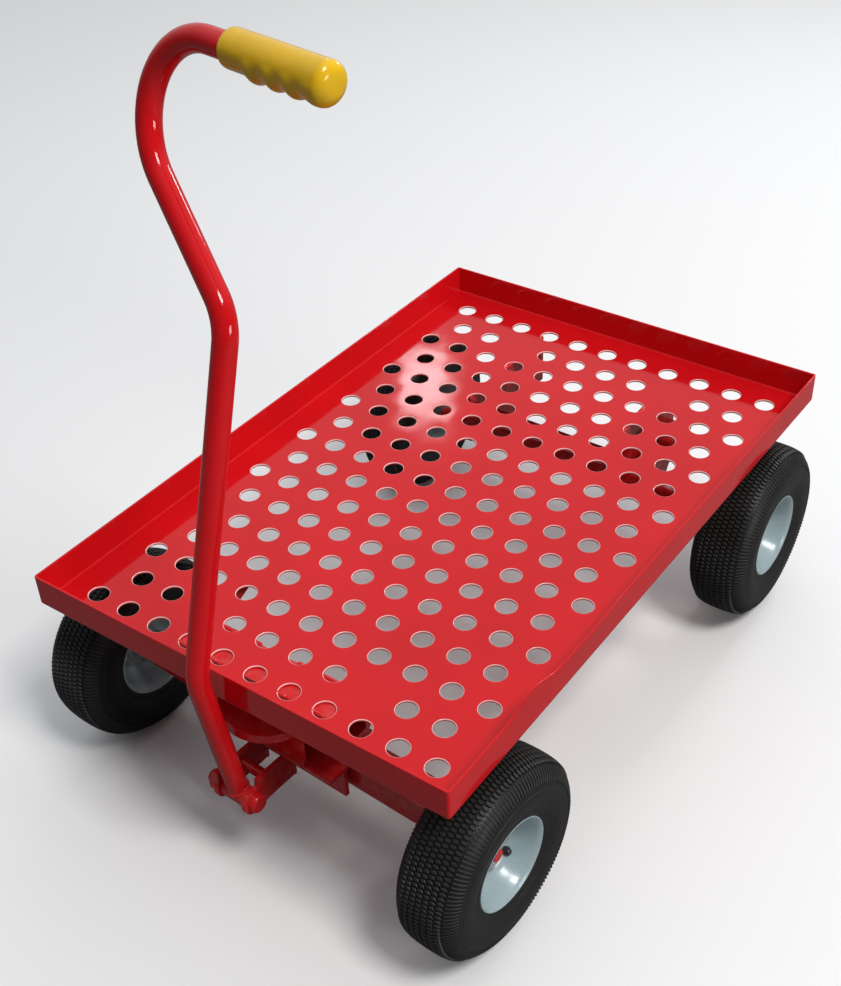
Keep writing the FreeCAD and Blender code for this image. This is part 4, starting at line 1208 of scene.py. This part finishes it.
def weld_tree():
    """Geometry node tree that lays overlapping ripples of weld metal along lines."""
    tree = bpy.data.node_groups.new("Weld Bead", "GeometryNodeTree")
    sockets(tree, [("Geometry", "NodeSocketGeometry", None), ("Ripple", "NodeSocketFloat", 0.0022),
                   ("Radius", "NodeSocketFloat", 0.003), ("Seed", "NodeSocketInt", 4),
                   ("Finish", "NodeSocketMaterial", None)], [("Geometry", "NodeSocketGeometry")])
    t = Tree(tree)
    group = t.node("NodeGroupInput").outputs
    curve = t.node("GeometryNodeMeshToCurve", {"Mesh": group["Geometry"]}).outputs[0]
    points = t.node("GeometryNodeCurveToPoints", {"Curve": curve, "Length": group["Ripple"]}, mode="LENGTH")
    drop = t.node("GeometryNodeMeshIcoSphere", {"Radius": group["Radius"], "Subdivisions": 2}).outputs[0]
    size = t.node("FunctionNodeRandomValue", {"Min": (0.85, 0.85, 0.8), "Max": (1.1, 1.1, 1.1),
                                              "Seed": group["Seed"]}, data_type="FLOAT_VECTOR").outputs[0]
    laid = t.node("GeometryNodeInstanceOnPoints", {"Points": points.outputs[0], "Instance": drop,
                                                   "Scale": size}).outputs[0]
    real = t.node("GeometryNodeRealizeInstances", {"Geometry": laid}).outputs[0]
    smooth = t.node("GeometryNodeSetShadeSmooth", {"Geometry": real}).outputs[0]
    finish = t.node("GeometryNodeSetMaterial", {"Geometry": smooth, "Material": group["Finish"]}).outputs[0]
    t.feed(t.node("NodeGroupOutput").inputs[0], finish)
    return tree


def frame_weld_lines():
    """Weld lines between the frame and the tray's underside, from the frame's own boxes."""
    lines = []
    low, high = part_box("front_bolster")
    for y in (low.y, high.y):
        for side in (-1, 1):
            lines.append([(side * 0.030, y, high.z), (side * (high.x - 0.012), y, high.z)])
    for name in ("rear_rail_left", "rear_rail_right"):
        low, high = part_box(name)
        outer = abs(low.x) < abs(high.x)
        x = low.x if outer else high.x
        for start in RAIL_WELDS:
            lines.append([(x, low.y + start, high.z), (x, low.y + start + RAIL_WELD_LENGTH, high.z)])
    for name in ("bolster_gusset_left", "bolster_gusset_right"):
        low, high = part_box(name)
        for x in (low.x, high.x):
            lines.append([(x, low.y + 0.012, high.z), (x, high.y - 0.008, high.z)])
    low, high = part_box("rear_cross")
    for x in (low.x, high.x):
        lines.append([(x, low.y + 0.004, high.z), (x, high.y - 0.004, high.z)])
    return lines


def truck_weld_lines():
    """Weld lines on the front truck, written in its straight-ahead place and then steered."""
    lines = [[(x, APRON_FRONT, BAR_WELD_LOW), (x, APRON_FRONT, BAR_WELD_HIGH)] for x in BAR_FACES_X]
    lines += [[(-RISER_WELD_X, y, RISER_FOOT), (RISER_WELD_X, y, RISER_FOOT)] for y in RISER_FACES_Y]
    for side in (-1, 1):
        lines.append([(side * 0.040, APRON_FRONT, APRON_TOP), (side * 0.100, APRON_FRONT, APRON_TOP)])
    return [steered(line) for line in lines]


def sleeve_weld_lines():
    """Ring of weld where the pipe meets the pivot sleeve."""
    up = (KNEE - PIVOT).normalized()
    side = up.cross(Vector((1, 0, 0)))
    ring = []
    for across, depth in arc(0.0, 0.0, SLEEVE_RING, 0, 360, 24):
        sag = abs(depth) / SLEEVE_RING * SLEEVE_SAG
        ring.append(PIVOT + Vector((across, 0, 0)) + side * depth + up * (SLEEVE_RING - sag))
    return [steered(ring)]


class WAGON_OT_welds(bpy.types.Operator):
    """Lay the weld beads on the frame, the truck and the handle sleeve"""
    bl_idname = "wagon.welds"
    bl_label = "Welds"

    def execute(self, context):
        tree = weld_tree()
        finish = bpy.data.materials["Red powder coat"]
        for name, body, lines, radius in (("frame_welds", "chassis", frame_weld_lines(), 0.0030),
                                          ("truck_welds", "front_truck", truck_weld_lines(), 0.0028),
                                          ("sleeve_weld", "handle", sleeve_weld_lines(), 0.0024)):
            mesh = bpy.data.meshes.new(name)
            verts = [tuple(point) for line in lines for point in line]
            edges = []
            start = 0
            for line in lines:
                edges += [(start + i, start + i + 1) for i in range(len(line) - 1)]
                start += len(line)
            mesh.from_pydata(verts, edges, [])
            piece = add_piece(name, mesh)
            run_tree(piece, tree, {"Ripple": WELD_RIPPLE, "Radius": radius, "Seed": WELD_SEED,
                                   "Finish": finish})
            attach(piece, body)
        return {"FINISHED"}


# ------------------------------------------------------------------ stage

WARM = (1.0, 0.98, 0.96)
COOL = (0.95, 0.97, 1.0)
WHITE = (1.0, 1.0, 1.0)
# name, place, what it points at, width, height, watts, colour
LIGHTS = (("High softbox", (3.4, -0.7, 6.1), (0.0, 0.0, 0.25), 1.8, 1.8, 245.0, WARM),
          ("Side softbox", (5.2, -0.3, 1.35), (0.0, 0.0, 0.35), 1.6, 0.9, 68.0, WARM),
          ("Back window", (-1.69, 2.24, 1.90), (-0.19, 0.22, 0.28), 0.17, 0.24, 1.1, COOL),
          ("Back strip", (0.27, 3.0, 1.95), (-0.15, -0.3, 0.8), 0.6, 0.34, 18.0, WHITE))
CAMERA_LENS = 50.49
CAMERA_SHIFT = (0.00848, 0.03026)
CAMERA_PLACE = (0.84337, -1.16756, 1.38934)
CAMERA_TURN_DEG = (51.4896, 2.3664, 35.7223)
FLOOR_HALF = 7.0
FLOOR_Z = -0.0002               # just under the tyres


def area_light(name, place, target, width, height, power, colour):
    light = bpy.data.lights.new(name, "AREA")
    light.shape = "RECTANGLE"
    light.size = width
    light.size_y = height
    light.energy = power
    light.color = colour
    lamp = bpy.data.objects.new(name, light)
    lamp.location = place
    lamp.visible_camera = False
    lamp.rotation_euler = (Vector(target) - Vector(place)).to_track_quat("-Z", "Y").to_euler()
    bpy.context.scene.collection.objects.link(lamp)


def studio_sky(tree):
    """Soft room light: bright high up at the back, dim near the floor and in front."""
    t = Tree(tree)
    background = tree.nodes["Background"]
    direction = t.node("ShaderNodeTexCoord").outputs["Generated"]
    towards = t.node("ShaderNodeVectorMath", {0: direction, 1: (-0.35, 0.52, 0.78)},
                     operation="DOT_PRODUCT").outputs["Value"]
    glow = t.node("ShaderNodeMapRange", {"Value": towards, "From Min": 0.05, "From Max": 0.95,
                                         "To Min": 0.10, "To Max": 0.72}, interpolation_type="SMOOTHSTEP")
    seen = t.node("ShaderNodeLightPath").outputs["Is Camera Ray"]
    t.feed(background.inputs["Strength"], t.math("MAXIMUM", glow.outputs[0], seen))
    background.inputs["Color"].default_value = (0.93, 0.96, 1.0, 1.0)


class WAGON_OT_stage(bpy.types.Operator):
    """Set up the floor, the studio lights and the camera"""
    bl_idname = "wagon.stage"
    bl_label = "Stage"

    def execute(self, context):
        scene = context.scene
        outline = [(-1, -1), (1, -1), (1, 1), (-1, 1)]
        verts = [(x * FLOOR_HALF, y * FLOOR_HALF, FLOOR_Z) for x, y in outline]
        floor = add_piece("studio_floor", mesh_from("Studio floor", verts, [(0, 1, 2, 3)]),
                          studio_floor(scene.wagon_finish.floor))
        world = bpy.data.worlds.new("Studio")
        scene.world = world
        world.use_nodes = True
        studio_sky(world.node_tree)
        for light in LIGHTS:
            area_light(*light)
        camera = bpy.data.cameras.new("Camera")
        camera.lens = CAMERA_LENS
        camera.sensor_width = 36.0
        camera.shift_x, camera.shift_y = CAMERA_SHIFT
        camera.clip_start = 0.01
        camera.clip_end = 60.0
        eye = bpy.data.objects.new("Camera", camera)
        eye.location = CAMERA_PLACE
        eye.rotation_euler = Euler([math.radians(turn) for turn in CAMERA_TURN_DEG], "XYZ")
        scene.collection.objects.link(eye)
        scene.camera = eye
        scene.view_settings.view_transform = "Standard"
        scene.view_settings.look = "None"
        return {"FINISHED"}


# ------------------------------------------------------------------ panel

STEPS = (WAGON_OT_finishes, WAGON_OT_tray, WAGON_OT_tyres, WAGON_OT_rims, WAGON_OT_handle, WAGON_OT_grip,
         WAGON_OT_welds, WAGON_OT_stage)
SETTINGS = (("wagon_tray", WagonTraySettings), ("wagon_wheel", WagonWheelSettings),
            ("wagon_handle", WagonHandleSettings), ("wagon_finish", WagonFinishSettings))


class WAGON_PT_panel(bpy.types.Panel):
    """Settings and steps of the pull wagon"""
    bl_idname = "WAGON_PT_panel"
    bl_label = "Pull wagon"
    bl_space_type = "VIEW_3D"
    bl_region_type = "UI"
    bl_category = "Wagon"

    def draw(self, context):
        for name, group in SETTINGS:
            settings = getattr(context.scene, name)
            box = self.layout.box()
            for prop in group.__annotations__:
                box.prop(settings, prop)
        for step in STEPS:
            self.layout.operator(step.bl_idname)


def register():
    for name, group in SETTINGS:
        bpy.utils.register_class(group)
        setattr(bpy.types.Scene, name, PointerProperty(type=group))
    for step in STEPS:
        bpy.utils.register_class(step)
    bpy.utils.register_class(WAGON_PT_panel)


def unregister():
    bpy.utils.unregister_class(WAGON_PT_panel)
    for step in reversed(STEPS):
        bpy.utils.unregister_class(step)
    for name, group in reversed(SETTINGS):
        delattr(bpy.types.Scene, name)
        bpy.utils.unregister_class(group)


def main():
    register()
    bpy.ops.wagon.finishes()
    bpy.ops.wagon.tray()
    bpy.ops.wagon.tyres()
    bpy.ops.wagon.rims()
    bpy.ops.wagon.handle()
    bpy.ops.wagon.grip()
    bpy.ops.wagon.welds()
    bpy.ops.wagon.stage()


if __name__ == "__main__":
    main()
